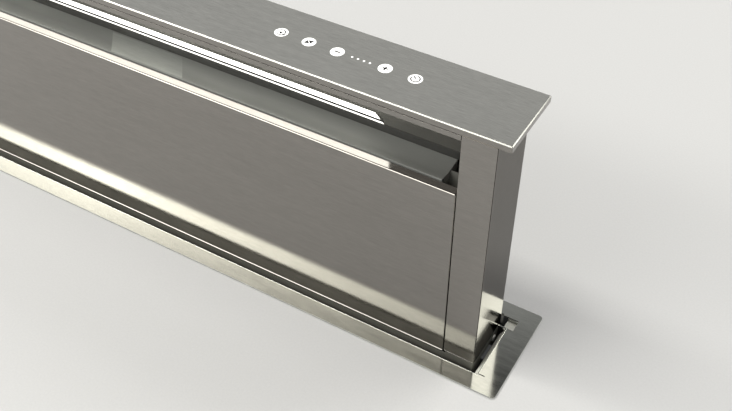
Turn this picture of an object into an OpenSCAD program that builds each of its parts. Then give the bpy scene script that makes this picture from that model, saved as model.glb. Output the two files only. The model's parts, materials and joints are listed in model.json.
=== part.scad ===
// Downdraft vent: a stainless tower that rises out of a worktop behind a hob.
// The origin is the middle of the cut-out, on the worktop's surface. +Z is up, and -Y is the cook's side.
// The tower is drawn fully raised.

/* [Tower] */
// Width of the tower over both end posts
tower_w = 803; // [640:1:1000]
// Depth of the tower, front to back
tower_d = 66.7; // [60:0.1:90]
// Height of the cap's top above the flange, with the tower up
rise = 300; // [260:1:340]
// Width of each end post, seen from the front
post_w = 35.4; // [32:0.1:50]
// Thickness of the stainless cladding
skin_t = 1.2; // [0.8:0.1:2]
// Thickness of the steel in the inner columns
column_t = 1.5; // [1:0.1:3]
// How far the inner frame reaches below the worktop
tower_foot = 92; // [80:1:120]

/* [Cap] */
// Height of the cap's edge
cap_t = 7.2; // [6:0.1:12]
// Depth of the cap, front to back
cap_d = 83; // [78:0.5:100]
// Overhang of the cap past each end post
cap_over = 12; // [10.5:0.1:16]
// How far the cap's front edge lies behind the posts' front
cap_setback = 0.5; // [0:0.1:3]
// Thickness of the cap's sheet
cap_skin = 1.5; // [1:0.1:2]

/* [Touch controls] */
// Diameter of a touch disc
key_dia = 14; // [10:0.5:18]
// Distance between neighbouring touch discs
key_pitch = 31.6; // [24:0.1:40]
// Distance between the two discs on either side of the speed dots
dots_span = 51.8; // [45:0.1:60]
// Diameter of a speed dot
dot_dia = 2.3; // [1.5:0.1:4]
// Distance between neighbouring speed dots
dot_pitch = 6.4; // [5:0.1:8]
// Distance of the last touch disc from the middle of the cap
key_end_x = 297.2; // [270:0.1:360]
// Distance of the discs from the posts' front
key_y = 43; // [30:0.5:55]

/* [Intake and light] */
// Drop from the cap's top to the front panel's top edge
intake_drop = 75.8; // [65:0.1:90]
// Height of the valance strip under the cap
valance_h = 5.8; // [4:0.1:10]
// Slope of the soffit, as drop over depth
soffit_slope = 1.5; // [1.2:0.05:1.7]
// Length of the light diffuser
led_l = 555; // [400:1:600]
// Width of the light diffuser along the slope
led_w = 20; // [12:0.5:26]
// Distance of the light diffuser from the soffit's top edge, along the slope
led_drop = 14.4; // [8:0.1:20]
// Length of the air-guide sheet
scoop_l = 692.2; // [560:0.1:700]
// Depth of the air-guide sheet
scoop_d = 27.5; // [22:0.5:30]
// Sag of the air-guide sheet's hollow
scoop_sag = 1.6; // [1:0.1:4]

/* [Front panel] */
// Gap between the front panel and each end post
panel_gap = 1.2; // [0.8:0.1:3]
// How far the front panel's face lies behind the posts' front
panel_setback = 0.8; // [0.3:0.1:2]
// Depth of the front panel's folded rim
panel_rim = 7.7; // [6:0.1:8.5]
// How far the front panel's bottom edge lies below the flange's top
panel_foot = 5.3; // [3:0.1:8]
// Corner radius of the front panel
panel_corner = 3; // [1:0.5:6]
// Radius of the front panel's hinge pins
hinge_r = 2.5; // [2:0.1:3]

/* [Worktop flange] */
// Length of the flange
flange_w = 880; // [874:1:1100]
// Depth of the flange
flange_d = 126; // [122:0.5:160]
// Thickness of the flange's sheet
flange_t = 1.2; // [0.8:0.1:2]
// Thickness of the gasket under the flange
gasket_t = 0.6; // [0.5:0.1:2]
// Corner radius of the flange
flange_corner = 4; // [1:0.5:10]
// Distance of the posts' front from the flange's front edge
front_margin = 32; // [30:0.5:40]
// Gap between the posts and the cut-out's front edge
front_gap = 11.5; // [8:0.1:14]
// Gap between the tower's back and the cut-out's rear edge
rear_gap = 7.7; // [5:0.1:12]
// Gap between an end post and the cut-out's side edge
side_gap = 9.7; // [8:0.1:10.2]
// Height of the lips turned down round the cut-out
lip_h = 12.6; // [8:0.1:14]

/* [Housing] */
// Depth of the housing below the worktop
housing_h = 690; // [640:1:760]
// Thickness of the housing's sheet
sheet_t = 1.2; // [0.8:0.1:2]
// Thickness of the worktop that the clamps are set for
worktop_t = 40; // [20:1:50]
// Height of the floor brackets' soles below the housing
foot_drop = 10; // [6:1:40]

/* [Lift] */
// Radius of a lift screw
screw_r = 6; // [5:0.5:8]
// Radius of a belt pulley
pulley_r = 14; // [12:0.5:16]
// Height of a belt pulley
pulley_h = 12; // [9:0.5:14]
// Thickness of the toothed belt
belt_t = 1.5; // [1:0.1:2.5]
// Radius of the lift motor
lift_motor_r = 18; // [14:0.5:20]
// Length of the lift motor
lift_motor_l = 72; // [50:1:90]

/* [Blower] */
// Width of the blower box
box_w = 340; // [310:1:420]
// Depth of the blower box
box_d = 200; // [190:1:240]
// Height of the blower box
box_h = 280; // [266:1:300]
// Outer radius of the impeller
impeller_r = 84; // [76:0.5:86]
// Number of impeller blades
blade_n = 32; // [20:1:40]
// Outer radius of the duct collar
collar_r = 75; // [60:0.5:76]
// Length of the duct collar
collar_l = 62; // [50:1:90]

/* [Electronics] */
// Width of the electronics box
ebox_w = 210; // [160:1:260]
// Height of the electronics box
ebox_h = 150; // [120:1:180]
// Depth of the electronics box
ebox_d = 50; // [35:1:60]
// Radius of the gland's cable hole
gland_r = 4.5; // [3:0.1:5.5]

/* [Hidden] */
$fn = 64;
over = 1;             // overrun of a cut past the face that it opens
run_fit = 0.05;       // radial clearance of a shaft in its bore
seat = 0.3;           // gap between pieces that lie next to each other
slide_gap = 0.6;      // gap between the tower and what it slides past
inset_fit = 0.1;      // gap round a disc that is let into a sheet

// Levels
flange_top = gasket_t + flange_t;
cap_top = flange_top + rise;
cap_bot = cap_top - cap_t;
panel_top = cap_top - intake_drop;
panel_bot = flange_top - panel_foot;
skin_bot = flange_top - panel_foot / 2;
valance_bot = cap_bot - valance_h;
travel = cap_bot - flange_top - seat;
housing_bot = -housing_h;

// Plan of the tower
tower_hw = tower_w / 2;
tower_front = -flange_d / 2 + front_margin;
tower_rear = tower_front + tower_d;
post_in = tower_hw - post_w;
panel_face = tower_front + panel_setback;
panel_hw = post_in - panel_gap;

// Inner columns
col_x0 = post_in + skin_t + seat;
col_x1 = tower_hw - skin_t - seat;
col_y0 = tower_front + skin_t + seat;
col_y1 = tower_rear - skin_t - seat;
col_top = cap_bot - 2 * seat;
screw_x = (col_x0 + col_x1) / 2;
screw_y = (col_y0 + col_y1) / 2;
rail_t = 5;           // thickness of a cross rail
rail_h = 26;          // height of a cross rail
bar_hw = post_in - seat;

// Cut-out
open_hw = tower_hw + side_gap;
open_front = tower_front - front_gap;
open_rear = tower_rear + rear_gap;
notch_w = 8.3;        // how far a corner notch reaches past the cut-out's side
notch_l = 15.4;       // length of a corner notch
notch_front = open_rear - notch_l;
slit_w = 0.5;         // width of a bend relief slit
ledge_drop = 2.6;     // depth of a corner ledge below the flange's sheet
ledge_gap = 6;        // gap between the tower's side and a corner ledge
ledge_leg = 16;       // height of a corner ledge's leg

// Housing
in_hw = open_hw + notch_w + flange_t;
in_front = open_front - flange_t;
in_rear = open_rear + flange_t;
out_hw = in_hw + sheet_t;
out_front = in_front - sheet_t;
out_rear = in_rear + sheet_t;
cover_lap = 14;       // lap of a service cover round its opening
screw_head_r = 3.6;   // radius of a small screw's head
screw_head_h = 1.6;   // height of a small screw's head

// Seals
wiper_t = 3;          // thickness of a wiper strip
wiper_drop = 4;       // distance of the wiper below the lips
wiper_z = gasket_t - lip_h - wiper_drop;

// Intake
soffit_y0 = tower_front + skin_t;
soffit_z0 = valance_bot;
soffit_t = 1.2;       // thickness of the soffit's sheet
soffit_angle = atan(soffit_slope);
soffit_gap = 5;       // air gap between the soffit and the air-guide sheet
scoop_y0 = panel_face + panel_rim + slide_gap;
scoop_y1 = scoop_y0 + scoop_d;
soffit_y1 = scoop_y1 + soffit_gap;
soffit_z1 = soffit_z0 - soffit_slope * (soffit_y1 - soffit_y0);
scoop_z = panel_top + 2 * seat;
scoop_t = 1;          // thickness of the air-guide sheet
scoop_r = (scoop_d * scoop_d / 4 + scoop_sag * scoop_sag) / (2 * scoop_sag);
led_t = 2;            // thickness of the light diffuser
led_board_t = 1.6;    // thickness of the light board

// Filters
filter_y0 = soffit_y1 + soffit_t + seat;
filter_t = 9;         // thickness of a grease filter
filter_top = panel_top - 16 * scoop_t;
filter_bot = flange_top + 16 * scoop_t;
filter_n = 3;         // number of grease filters
filter_gap = 3;       // gap between two grease filters
filter_rim = 7;       // width of a filter's frame
rail_wall = 1.2;      // wall of a filter rail
rail_lip = 6;         // height of a filter rail's lips
filter_hw = bar_hw - rail_wall;
filter_w = (2 * filter_hw - (filter_n - 1) * filter_gap) / filter_n;
mesh_in = 2.2;        // depth of a filter's mesh behind its frame's faces

// Front panel's hinge
hinge_y = panel_face + skin_t + 1.4 * hinge_r;
hinge_z = panel_bot + 3.8 * hinge_r;
ear_w = 9;            // width of a hinge ear
ear_out = panel_hw - skin_t - seat;
rib_w = 15;           // width of an upright of the panel's stiffener
rib_in = 20;          // distance of the stiffener's uprights from the panel's edge
catch_h = 15;         // height of a magnetic catch
catch_d = 10;         // depth of a magnetic catch
catch_w = 14;         // width of a magnetic catch

// Lift
nut_flange_t = 4;     // thickness of a nut's flange
nut_h = 20;           // height of a nut above its flange
nut_r = 12;           // radius of a nut
screw_top = -tower_foot + nut_h + 2 * nut_r;
low_nut = -tower_foot - nut_flange_t - travel;
bearing_h = 14;       // height of a screw's bearing block
bearing_hw = 15;      // half width of a screw's bearing block
base_t = 3;           // thickness of the lift's base plate
base_top = low_nut - bearing_h - 6 * skin_t;
base_bot = base_top - base_t;
base_front = in_front + 6 * sheet_t;
base_rear = in_rear - 4 * sheet_t;
pulley_top = base_bot - 2 * belt_t;
pulley_bot = pulley_top - pulley_h;
screw_bot = pulley_bot - belt_t;
motor_x = 60;         // distance of the lift motor from the middle
motor_y = screw_y - 1.3 * pulley_r;
shaft_r = 4;          // radius of a motor's shaft
bracket_top = pulley_bot - 2 * belt_t;
bracket_t = 3;        // thickness of the motor's bracket
bracket_hw = 28;      // half width of the motor's bracket
leg_t = 2.5;          // thickness of a leg of the motor's bracket
shaft_l = 16;         // length of the drive shaft inside the motor
rail_x0 = tower_hw + 7.5;
rib_t = 4;            // thickness of a guide rail's rib
rail_base = 3;        // thickness of a guide rail's base
rail_hw = 18;         // half width of a guide rail's base
rail_top = wiper_z;
rail_bot = base_top + base_t;
shoe_hw = 11;         // half width of a slide shoe
shoe_h = 26;          // height of a slide shoe

// Worktop clamps
clamp_t = 2;          // thickness of a clamp's plate
clamp_w = 24;         // width of a clamp
clamp_y = 24;         // distance of a clamp from the middle
clamp_arm = 15;       // length of a clamp's arm
clamp_screw_r = 3;    // radius of a clamp's screw
clamp_pad_r = 6.5;    // radius of a clamp's pad
clamp_pad_t = 3;      // thickness of a clamp's pad
clamp_arm_z = -worktop_t - 22;
clamp_leg = 38;       // height of a clamp's plate

// Floor brackets
foot_t = 2.5;         // thickness of a floor bracket
foot_w = 46;          // width of a floor bracket's sole
foot_front = 120;     // reach of the soles in front of the middle
foot_rear = 170;      // reach of the soles behind the middle
foot_leg = 88;        // height of a floor bracket's leg
foot_leg_hw = 34;     // half width of a floor bracket's leg
foot_bolt_r = 3.5;    // radius of a bolt hole in a sole
foot_bolt_in = 14;    // distance of a bolt hole from the sole's end
foot_z = housing_bot - foot_drop;
foot_bolt_x = out_hw + foot_t - foot_w / 2;

// Blower
box_y0 = out_rear;
box_y1 = box_y0 + box_d;
box_bot = housing_bot + 4 * sheet_t;
box_top = box_bot + box_h;
fan_z = box_bot + 0.45 * box_h;
fan_wall = 2;         // wall of the volute
inlet_r = 66;         // radius of the inlet ring's throat
inlet_t = 2;          // thickness of the inlet ring
bell_h = 7;           // height of the inlet ring's bell mouth
ring_y = box_y0 + sheet_t;
scroll_y0 = ring_y + inlet_t;
fan_y0 = scroll_y0 + 2 * fan_wall;
fan_w = 68;           // width of the impeller
fan_y1 = fan_y0 + fan_w;
scroll_y1 = fan_y1 + 2.5 * fan_wall;
fan_ring = 3;         // thickness of the impeller's ring and disc
blade_d = 16;         // depth of a blade
blade_t = 1;          // thickness of a blade
blade_angle = 35;     // angle of a blade to the radius
hub_r = 12;           // radius of the impeller's hub
hub_l = 14;           // length of the impeller's hub
cut_gap = 9;          // gap between the impeller and the volute's cut-off
scroll_growth = 29;   // growth of the volute's radius
scroll_r0 = impeller_r + cut_gap;
scroll_r1 = scroll_r0 + scroll_growth;
scroll_from = 10;     // angle at which the volute starts
scroll_to = -270;     // angle at which the volute ends
scroll_steps = 56;    // steps along the volute
scroll_out = 126;     // distance of the volute's mouth from the fan's axis
fan_motor_r = 42;     // radius of the blower motor
fan_motor_l = 60;     // length of the blower motor
fan_shaft_in = 26;    // length of the impeller's shaft inside the motor
collar_y = box_y0 + box_d / 2;
collar_z = box_bot + box_h / 2;
collar_t = 1.5;       // wall of the collar
collar_rim = 7;       // width of the collar's mounting rim
flap_x = box_w / 2 + 0.4 * collar_l;
flap_t = 1;           // thickness of a flap
flap_pin_r = 1.5;     // radius of the flaps' pin
knuckle_r = 2.6;      // radius of a flap's knuckle
knuckle_h = 18;       // height of a flap's knuckle

// Electronics
ebox_gap = 10;        // gap between the blower box and the electronics box, along X
ebox_x0 = box_w / 2 + ebox_gap;
ebox_top = -0.26 * housing_h;
ebox_bot = ebox_top - ebox_h;
ebox_x1 = ebox_x0 + ebox_w;
ebox_y1 = out_rear + ebox_d;
board_t = 1.6;        // thickness of a circuit board
standoff_h = 10;      // height of the board's standoffs
standoff_r = 3;       // radius of a standoff
board_in = 12;        // distance of the board from the box's walls
gland_flange_r = 12;  // radius of the gland's flange
gland_flange_h = 6;   // height of the gland's flange
gland_nose_r = 9;     // radius of the gland's nose
gland_nose_h = 14;    // height of the gland's nose
gland_thread_r = 7.8; // radius of the gland's thread
gland_thread_h = 8;   // length of the gland's thread inside the box
gland_x = ebox_x1 - 0.2 * ebox_w;
gland_y = out_rear + ebox_d / 2;

// Service cover in the housing's front
service_hw = 100;     // half width of the opening
service_h = 140;      // height of the opening
service_x0 = motor_x - service_hw;
service_x1 = motor_x + service_hw;
service_z1 = base_bot;
service_z0 = service_z1 - service_h;

steel = "#8d8c84";
steel_dark = "#6f6e68";
zinc = "#9aa0a3";
black = "#26272a";
white = "#f4f4ee";
green = "#2f6b45";
grey_plastic = "#54575b";

// Box between two corners
module slab(x0, x1, y0, y1, z0, z1) {
    translate([x0, y0, z0])
        cube([x1 - x0, y1 - y0, z1 - z0]);
}

// Outline in X and Z, given a thickness from y0 to y1
module upright(y0, y1) {
    translate([0, y1, 0])
        rotate([90, 0, 0])
            linear_extrude(y1 - y0)
                children();
}

// Outline in Y and Z, drawn out from x0 to x1
module along_x(x0, x1) {
    translate([x0, 0, 0])
        rotate([90, 0, 90])
            linear_extrude(x1 - x0)
                children();
}

// Rectangle between two corners, with round corners
module round_rect(x0, x1, y0, y1, r) {
    translate([x0 + r, y0])
        square([x1 - x0 - 2 * r, y1 - y0]);
    translate([x0, y0 + r])
        square([x1 - x0, y1 - y0 - 2 * r]);
    for (x = [x0 + r, x1 - r], y = [y0 + r, y1 - r])
        translate([x, y])
            circle(r);
}

// Cylinder along +X, +Y or +Z from a point
module rod_x(r, l) {
    rotate([0, 90, 0])
        cylinder(r = r, h = l);
}
module rod_y(r, l) {
    rotate([-90, 0, 0])
        cylinder(r = r, h = l);
}

// The piece and its mirror image at the other end
module both_ends() {
    children();
    mirror([1, 0, 0])
        children();
}

// Worktop flange and what lies in its cut-out

module flange_cutout(grow) {
    translate([-open_hw - grow, open_front - grow])
        square([2 * (open_hw + grow), open_rear - open_front + 2 * grow]);
}

module worktop_flange() color(steel) {
    translate([0, 0, gasket_t])
        linear_extrude(flange_t)
            difference() {
                round_rect(-flange_w / 2, flange_w / 2, -flange_d / 2, flange_d / 2, flange_corner);
                flange_cutout(0);
                for (side = [0, 1])
                    mirror([side, 0])
                        translate([open_hw - over, 0]) {
                            translate([0, notch_front])
                                square([notch_w + over, notch_l]);
                            translate([0, open_front])
                                square([notch_w + over, slit_w]);
                        }
            }
    lip_bot = gasket_t - lip_h;
    slab(-open_hw, open_hw, open_front - flange_t, open_front, lip_bot, gasket_t);
    slab(-tower_hw, tower_hw, open_rear, open_rear + flange_t, lip_bot, gasket_t);
    both_ends()
        slab(open_hw, open_hw + flange_t, open_front + slit_w, notch_front, lip_bot, gasket_t);
}

module flange_gasket() color(black) {
    edge = 2 * gasket_t;
    linear_extrude(gasket_t)
        difference() {
            round_rect(-flange_w / 2 + edge, flange_w / 2 - edge, -flange_d / 2 + edge,
                flange_d / 2 - edge, flange_corner);
            translate([-out_hw - seat, out_front - seat])
                square([2 * (out_hw + seat), out_rear - out_front + 2 * seat]);
        }
}

module corner_ledges() color(steel_dark) {
    top = gasket_t - ledge_drop;
    both_ends() {
        slab(tower_hw + ledge_gap, in_hw, notch_front + seat, in_rear, top - sheet_t, top);
        slab(in_hw - sheet_t, in_hw, notch_front + seat, in_rear, top - ledge_leg, top);
    }
}

module wiper_seals() color(black) {
    slab(-post_in, post_in, in_front, tower_front - slide_gap, wiper_z - wiper_t, wiper_z);
    slab(-post_in, post_in, tower_rear + slide_gap, in_rear, wiper_z - wiper_t, wiper_z);
}

// Housing under the worktop

module housing_front() color(zinc)
    upright(out_front, in_front)
        difference() {
            translate([-out_hw, housing_bot])
                square([2 * out_hw, housing_h + gasket_t]);
            translate([service_x0, service_z0])
                square([service_x1 - service_x0, service_z1 - service_z0]);
        }

module housing_back() color(zinc)
    upright(in_rear, out_rear)
        difference() {
            translate([-out_hw, housing_bot])
                square([2 * out_hw, housing_h + gasket_t]);
            translate([0, fan_z])
                circle(inlet_r + 2 * fan_wall);
        }

module housing_end() color(zinc)
    slab(in_hw, out_hw, in_front, in_rear, housing_bot, gasket_t);

module housing_floor() color(zinc) {
    slab(-in_hw, in_hw, in_front, in_rear, housing_bot, housing_bot + sheet_t);
    for (y = [in_front, in_rear - sheet_t])
        slab(-in_hw, in_hw, y, y + sheet_t, housing_bot + sheet_t, housing_bot + cover_lap);
}

module service_cover() color(zinc)
    upright(out_front - sheet_t, out_front)
        round_rect(service_x0 - cover_lap, service_x1 + cover_lap, service_z0 - cover_lap,
            service_z1 + cover_lap, cover_lap / 2);

// Head of a small screw that stands on a face and points along -Y, or +Y
module head_y(y, way) {
    translate([0, way > 0 ? y : y - screw_head_h, 0])
        rod_y(screw_head_r, screw_head_h);
}

module housing_screws() color(steel) {
    cover_x = (service_x1 - service_x0 + cover_lap) / 2;
    cover_z = (service_z1 - service_z0 + cover_lap) / 2;
    for (x = [-cover_x, 0, cover_x], z = [-cover_z, cover_z])
        translate([(service_x0 + service_x1) / 2 + x, 0, (service_z0 + service_z1) / 2 + z])
            head_y(out_front - sheet_t, -1);
    box_x = box_w / 2 - cover_lap;
    for (x = [-box_x, 0, box_x], z = [box_bot + cover_lap, box_top - cover_lap])
        translate([x, 0, z])
            head_y(box_y1, 1);
    for (x = [ebox_x0 + cover_lap, ebox_x1 - cover_lap], z = [ebox_bot + cover_lap, ebox_top - cover_lap])
        translate([x, 0, z])
            head_y(ebox_y1, 1);
    side_x = out_hw - cover_lap;
    for (x = [-side_x, side_x], z = [-cover_lap, -housing_h / 2, housing_bot + cover_lap])
        translate([x, 0, z]) {
            head_y(out_front, -1);
            head_y(out_rear, 1);
        }
}

// Guides and lift

module guide_rails() color("#a9acae")
    both_ends() {
        slab(in_hw - rail_base, in_hw, screw_y - rail_hw, screw_y + rail_hw, rail_bot, rail_top);
        slab(rail_x0, in_hw - rail_base, screw_y - rib_t / 2, screw_y + rib_t / 2, rail_bot, rail_top);
    }

module lift_base_plate() color(zinc)
    difference() {
        union() {
            slab(-in_hw, in_hw, base_front, base_rear, base_bot, base_top);
            both_ends()
                slab(in_hw - base_t, in_hw, base_front, base_rear, base_bot - 4 * base_t, base_top);
        }
        both_ends()
            translate([screw_x, screw_y, base_bot - over])
                cylinder(r = screw_r + skin_t, h = base_t + 2 * over);
        window_l = (screw_x - motor_x - 2 * bracket_hw - bearing_hw) / 2;
        window_x = motor_x + bracket_hw + 4 * base_t;
        window_hw = (base_rear - base_front) / 2 - 4 * base_t;
        window_y = (base_rear + base_front) / 2;
        both_ends()
            for (i = [0, 1])
                translate([window_x + i * (window_l + 2 * base_t), window_y - window_hw, base_bot - over])
                    cube([window_l, 2 * window_hw, base_t + 2 * over]);
    }

module screw_bearings() color(grey_plastic)
    both_ends()
        difference() {
            slab(screw_x - bearing_hw, screw_x + bearing_hw, screw_y - bearing_hw, screw_y + bearing_hw,
                base_top, base_top + bearing_h);
            translate([screw_x, screw_y, base_top - over])
                cylinder(r = screw_r + run_fit, h = bearing_h + 2 * over);
        }

// Pulley with two flanges, standing on z = 0
module pulley() {
    rim = 1.5 * belt_t;
    cylinder(r = pulley_r, h = pulley_h);
    cylinder(r = pulley_r + belt_t, h = rim);
    translate([0, 0, pulley_h - rim])
        cylinder(r = pulley_r + belt_t, h = rim);
}

module lift_screw() color("#b4b4ae") {
    translate([screw_x, screw_y, screw_bot])
        cylinder(r = screw_r, h = screw_top - screw_bot);
    translate([screw_x, screw_y, pulley_bot])
        difference() {
            pulley();
            translate([0, 0, -over])
                cylinder(r = screw_r, h = pulley_h + 2 * over);
        }
}

module drive_pulley() color("#b4b4ae")
    translate([motor_x, motor_y, 0]) {
        translate([0, 0, pulley_bot])
            pulley();
        translate([0, 0, bracket_top - bracket_t - shaft_l])
            cylinder(r = shaft_r, h = pulley_bot - bracket_top + bracket_t + shaft_l + belt_t);
    }

// Strip of a given half width round the line between two points
module strip(a, b, r) {
    d = b - a;
    l = norm(d);
    translate(a)
        rotate(atan2(d.y, d.x))
            translate([0, -r])
                square([l, 2 * r]);
}

// Outline round the three pulleys, a given distance from their middles
module belt_outline(r) {
    spots = [[-screw_x, screw_y], [motor_x, motor_y], [screw_x, screw_y]];
    polygon(spots);
    for (i = [0, 1, 2]) {
        translate(spots[i])
            circle(r);
        strip(spots[i], spots[(i + 1) % 3], r);
    }
}

module lift_belt() color(black) {
    in_r = pulley_r + seat / 2;
    rim = 1.5 * belt_t + seat;
    translate([0, 0, pulley_bot + rim])
        linear_extrude(pulley_h - 2 * rim)
            difference() {
                belt_outline(in_r + belt_t);
                belt_outline(in_r);
            }
}

module lift_motor() color(steel_dark)
    translate([motor_x, motor_y, bracket_top - bracket_t]) {
        difference() {
            translate([0, 0, -lift_motor_l])
                cylinder(r = lift_motor_r, h = lift_motor_l);
            translate([0, 0, -shaft_l - over])
                cylinder(r = shaft_r + run_fit, h = shaft_l + 2 * over);
        }
        translate([0, 0, -lift_motor_l - 6 * belt_t])
            cylinder(r = lift_motor_r / 2, h = 6 * belt_t);
    }

module motor_bracket() color(zinc) {
    leg_front = base_front;
    leg_rear = screw_y + pulley_r + 4 * belt_t;
    bottom = bracket_top - bracket_t;
    difference() {
        slab(motor_x - bracket_hw, motor_x + bracket_hw, leg_front, leg_rear + leg_t, bottom, bracket_top);
        translate([motor_x, motor_y, bottom - over])
            cylinder(r = shaft_r + skin_t, h = bracket_t + 2 * over);
    }
    for (y = [leg_front, leg_rear])
        slab(motor_x - bracket_hw, motor_x + bracket_hw, y, y + leg_t, bracket_top, base_bot);
}

// Fixings

module worktop_clamps() color(zinc)
    both_ends()
        for (y = [-clamp_y, clamp_y]) {
            x1 = out_hw + clamp_t;
            screw = x1 + clamp_arm / 2;
            difference() {
                union() {
                    slab(out_hw, x1, y - clamp_w / 2, y + clamp_w / 2, clamp_arm_z - clamp_leg, clamp_arm_z);
                    slab(out_hw, x1 + clamp_arm, y - clamp_w / 2, y + clamp_w / 2, clamp_arm_z,
                        clamp_arm_z + clamp_t);
                }
                translate([screw, y, clamp_arm_z - over])
                    cylinder(r = clamp_screw_r + run_fit, h = clamp_t + 2 * over);
            }
            translate([screw, y, clamp_arm_z - clamp_leg / 2])
                cylinder(r = clamp_screw_r, h = -worktop_t - clamp_pad_t - clamp_arm_z + clamp_leg / 2);
            translate([screw, y, -worktop_t - clamp_pad_t])
                cylinder(r = clamp_pad_r, h = clamp_pad_t);
        }

module floor_brackets() color(zinc)
    both_ends()
        difference() {
            union() {
                slab(out_hw + foot_t - foot_w, out_hw + foot_t, -foot_front, foot_rear, foot_z,
                    foot_z + foot_t);
                slab(out_hw, out_hw + foot_t, -foot_leg_hw, foot_leg_hw, foot_z, foot_z + foot_leg);
            }
            for (y = [-foot_front + foot_bolt_in, foot_rear - foot_bolt_in])
                translate([foot_bolt_x, y, foot_z - over])
                    cylinder(r = foot_bolt_r, h = foot_t + 2 * over);
        }

// Blower

module blower_box() color(zinc)
    difference() {
        slab(-box_w / 2, box_w / 2, box_y0, box_y1 - sheet_t, box_bot, box_top);
        slab(-box_w / 2 + sheet_t, box_w / 2 - sheet_t, box_y0 + sheet_t, box_y1, box_bot + sheet_t,
            box_top - sheet_t);
        translate([0, box_y0 - over, fan_z])
            rod_y(inlet_r + 2 * fan_wall, sheet_t + 2 * over);
        translate([box_w / 2 - sheet_t - over, collar_y, collar_z])
            rod_x(collar_r - collar_t, sheet_t + 2 * over);
    }

module blower_cover() color(zinc)
    upright(box_y1 - sheet_t, box_y1)
        round_rect(-box_w / 2, box_w / 2, box_bot, box_top, sheet_t);

function scroll_point(i, grow) =
    let (a = scroll_from + (scroll_to - scroll_from) * i / scroll_steps)
    let (r = scroll_r0 + scroll_growth * i / scroll_steps + grow)
    [r * cos(a), r * sin(a)];

// Outline of the volute, with its mouth towards +X
module scroll_outline(grow, mouth) {
    low = scroll_r0 * sin(scroll_from) - grow;
    polygon(concat(
        [for (i = [0 : scroll_steps]) scroll_point(i, grow)],
        [[mouth, scroll_r1 + grow], [mouth, low]]
    ));
}

module blower_volute() color(grey_plastic)
    translate([0, 0, fan_z])
        difference() {
            upright(scroll_y0, scroll_y1 + fan_wall)
                scroll_outline(fan_wall, scroll_out);
            upright(scroll_y0 - over, scroll_y1)
                scroll_outline(0, scroll_out + over);
            translate([0, scroll_y1 - over, 0])
                rod_y(hub_r + 2 * fan_wall, fan_wall + 2 * over);
        }

module inlet_ring() color(grey_plastic)
    translate([0, 0, fan_z])
        difference() {
            union() {
                upright(ring_y, scroll_y0)
                    scroll_outline(fan_wall, scroll_out);
                translate([0, ring_y, 0])
                    rod_y(inlet_r, inlet_t + bell_h);
            }
            translate([0, ring_y - over, 0])
                rod_y(inlet_r - inlet_t, inlet_t + bell_h + 2 * over);
        }

module impeller() color(black)
    translate([0, 0, fan_z]) {
        difference() {
            union() {
                upright(fan_y0 + fan_ring / 2, fan_y1 - fan_ring / 2)
                    for (i = [0 : blade_n - 1])
                        rotate(i * 360 / blade_n)
                            translate([impeller_r - blade_d * cos(blade_angle), 0])
                                rotate(blade_angle)
                                    square([blade_d, blade_t]);
                translate([0, fan_y0, 0])
                    rod_y(impeller_r + blade_t, fan_ring);
                translate([0, fan_y1 - fan_ring, 0])
                    rod_y(impeller_r + blade_t, fan_ring);
            }
            translate([0, fan_y0 - over, 0])
                rod_y(impeller_r - blade_d, fan_w - fan_ring + over);
        }
        translate([0, fan_y1 - hub_l, 0])
            rod_y(hub_r, hub_l);
        translate([0, fan_y1 - hub_l, 0])
            rod_y(shaft_r, hub_l + scroll_y1 + fan_wall - fan_y1 + fan_shaft_in);
    }

module blower_motor() color(steel_dark)
    translate([0, scroll_y1 + fan_wall, fan_z])
        difference() {
            union() {
                rod_y(fan_motor_r, fan_motor_l);
                rod_y(fan_motor_r + 2 * fan_wall, 2 * fan_wall);
            }
            translate([0, -over, 0])
                rod_y(shaft_r + run_fit, fan_shaft_in + 2 * over);
        }

module outlet_collar() color(grey_plastic)
    translate([box_w / 2, collar_y, collar_z])
        difference() {
            union() {
                rod_x(collar_r, collar_l);
                rod_x(collar_r + collar_rim, collar_t);
            }
            translate([-over, 0, 0])
                rod_x(collar_r - collar_t, collar_l + 2 * over);
            translate([flap_x - box_w / 2, 0, -collar_r - over])
                cylinder(r = flap_pin_r + run_fit, h = 2 * (collar_r + over));
        }

module flap_pin() color(steel)
    translate([flap_x, collar_y, collar_z - collar_r])
        cylinder(r = flap_pin_r, h = 2 * collar_r);

// Half-round flap on the pin; way is -1 for the front one and 1 for the rear one
module flap(way) {
    rows = way < 0 ? [-2.5, 1.5] : [-1.3, 0.3];
    clear_r = collar_r - collar_t - slide_gap;
    translate([flap_x, collar_y, collar_z])
        difference() {
            union() {
                intersection() {
                    translate([-flap_t / 2, 0, 0])
                        rod_x(clear_r, flap_t);
                    translate([-over, way > 0 ? knuckle_r + slide_gap : -collar_r, -collar_r])
                        cube([2 * over, collar_r - knuckle_r - slide_gap, 2 * collar_r]);
                }
                for (row = rows)
                    translate([0, 0, row * knuckle_h]) {
                        cylinder(r = knuckle_r, h = knuckle_h);
                        translate([-flap_t / 2, way > 0 ? 0 : -2 * knuckle_r, 0])
                            cube([flap_t, 2 * knuckle_r, knuckle_h]);
                    }
            }
            translate([0, 0, -collar_r])
                cylinder(r = flap_pin_r + run_fit, h = 2 * collar_r);
        }
}

module flap_front() color(black) flap(-1);
module flap_rear() color(black) flap(1);

// Electronics

module electronics_box() color(zinc)
    difference() {
        slab(ebox_x0, ebox_x1, out_rear, ebox_y1 - sheet_t, ebox_bot, ebox_top);
        slab(ebox_x0 + sheet_t, ebox_x1 - sheet_t, out_rear + sheet_t, ebox_y1, ebox_bot + sheet_t,
            ebox_top - sheet_t);
        translate([gland_x, gland_y, ebox_bot - over])
            cylinder(r = gland_thread_r + inset_fit, h = sheet_t + 2 * over);
    }

module electronics_cover() color(zinc)
    upright(ebox_y1 - sheet_t, ebox_y1)
        round_rect(ebox_x0, ebox_x1, ebox_bot, ebox_top, sheet_t);

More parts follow.
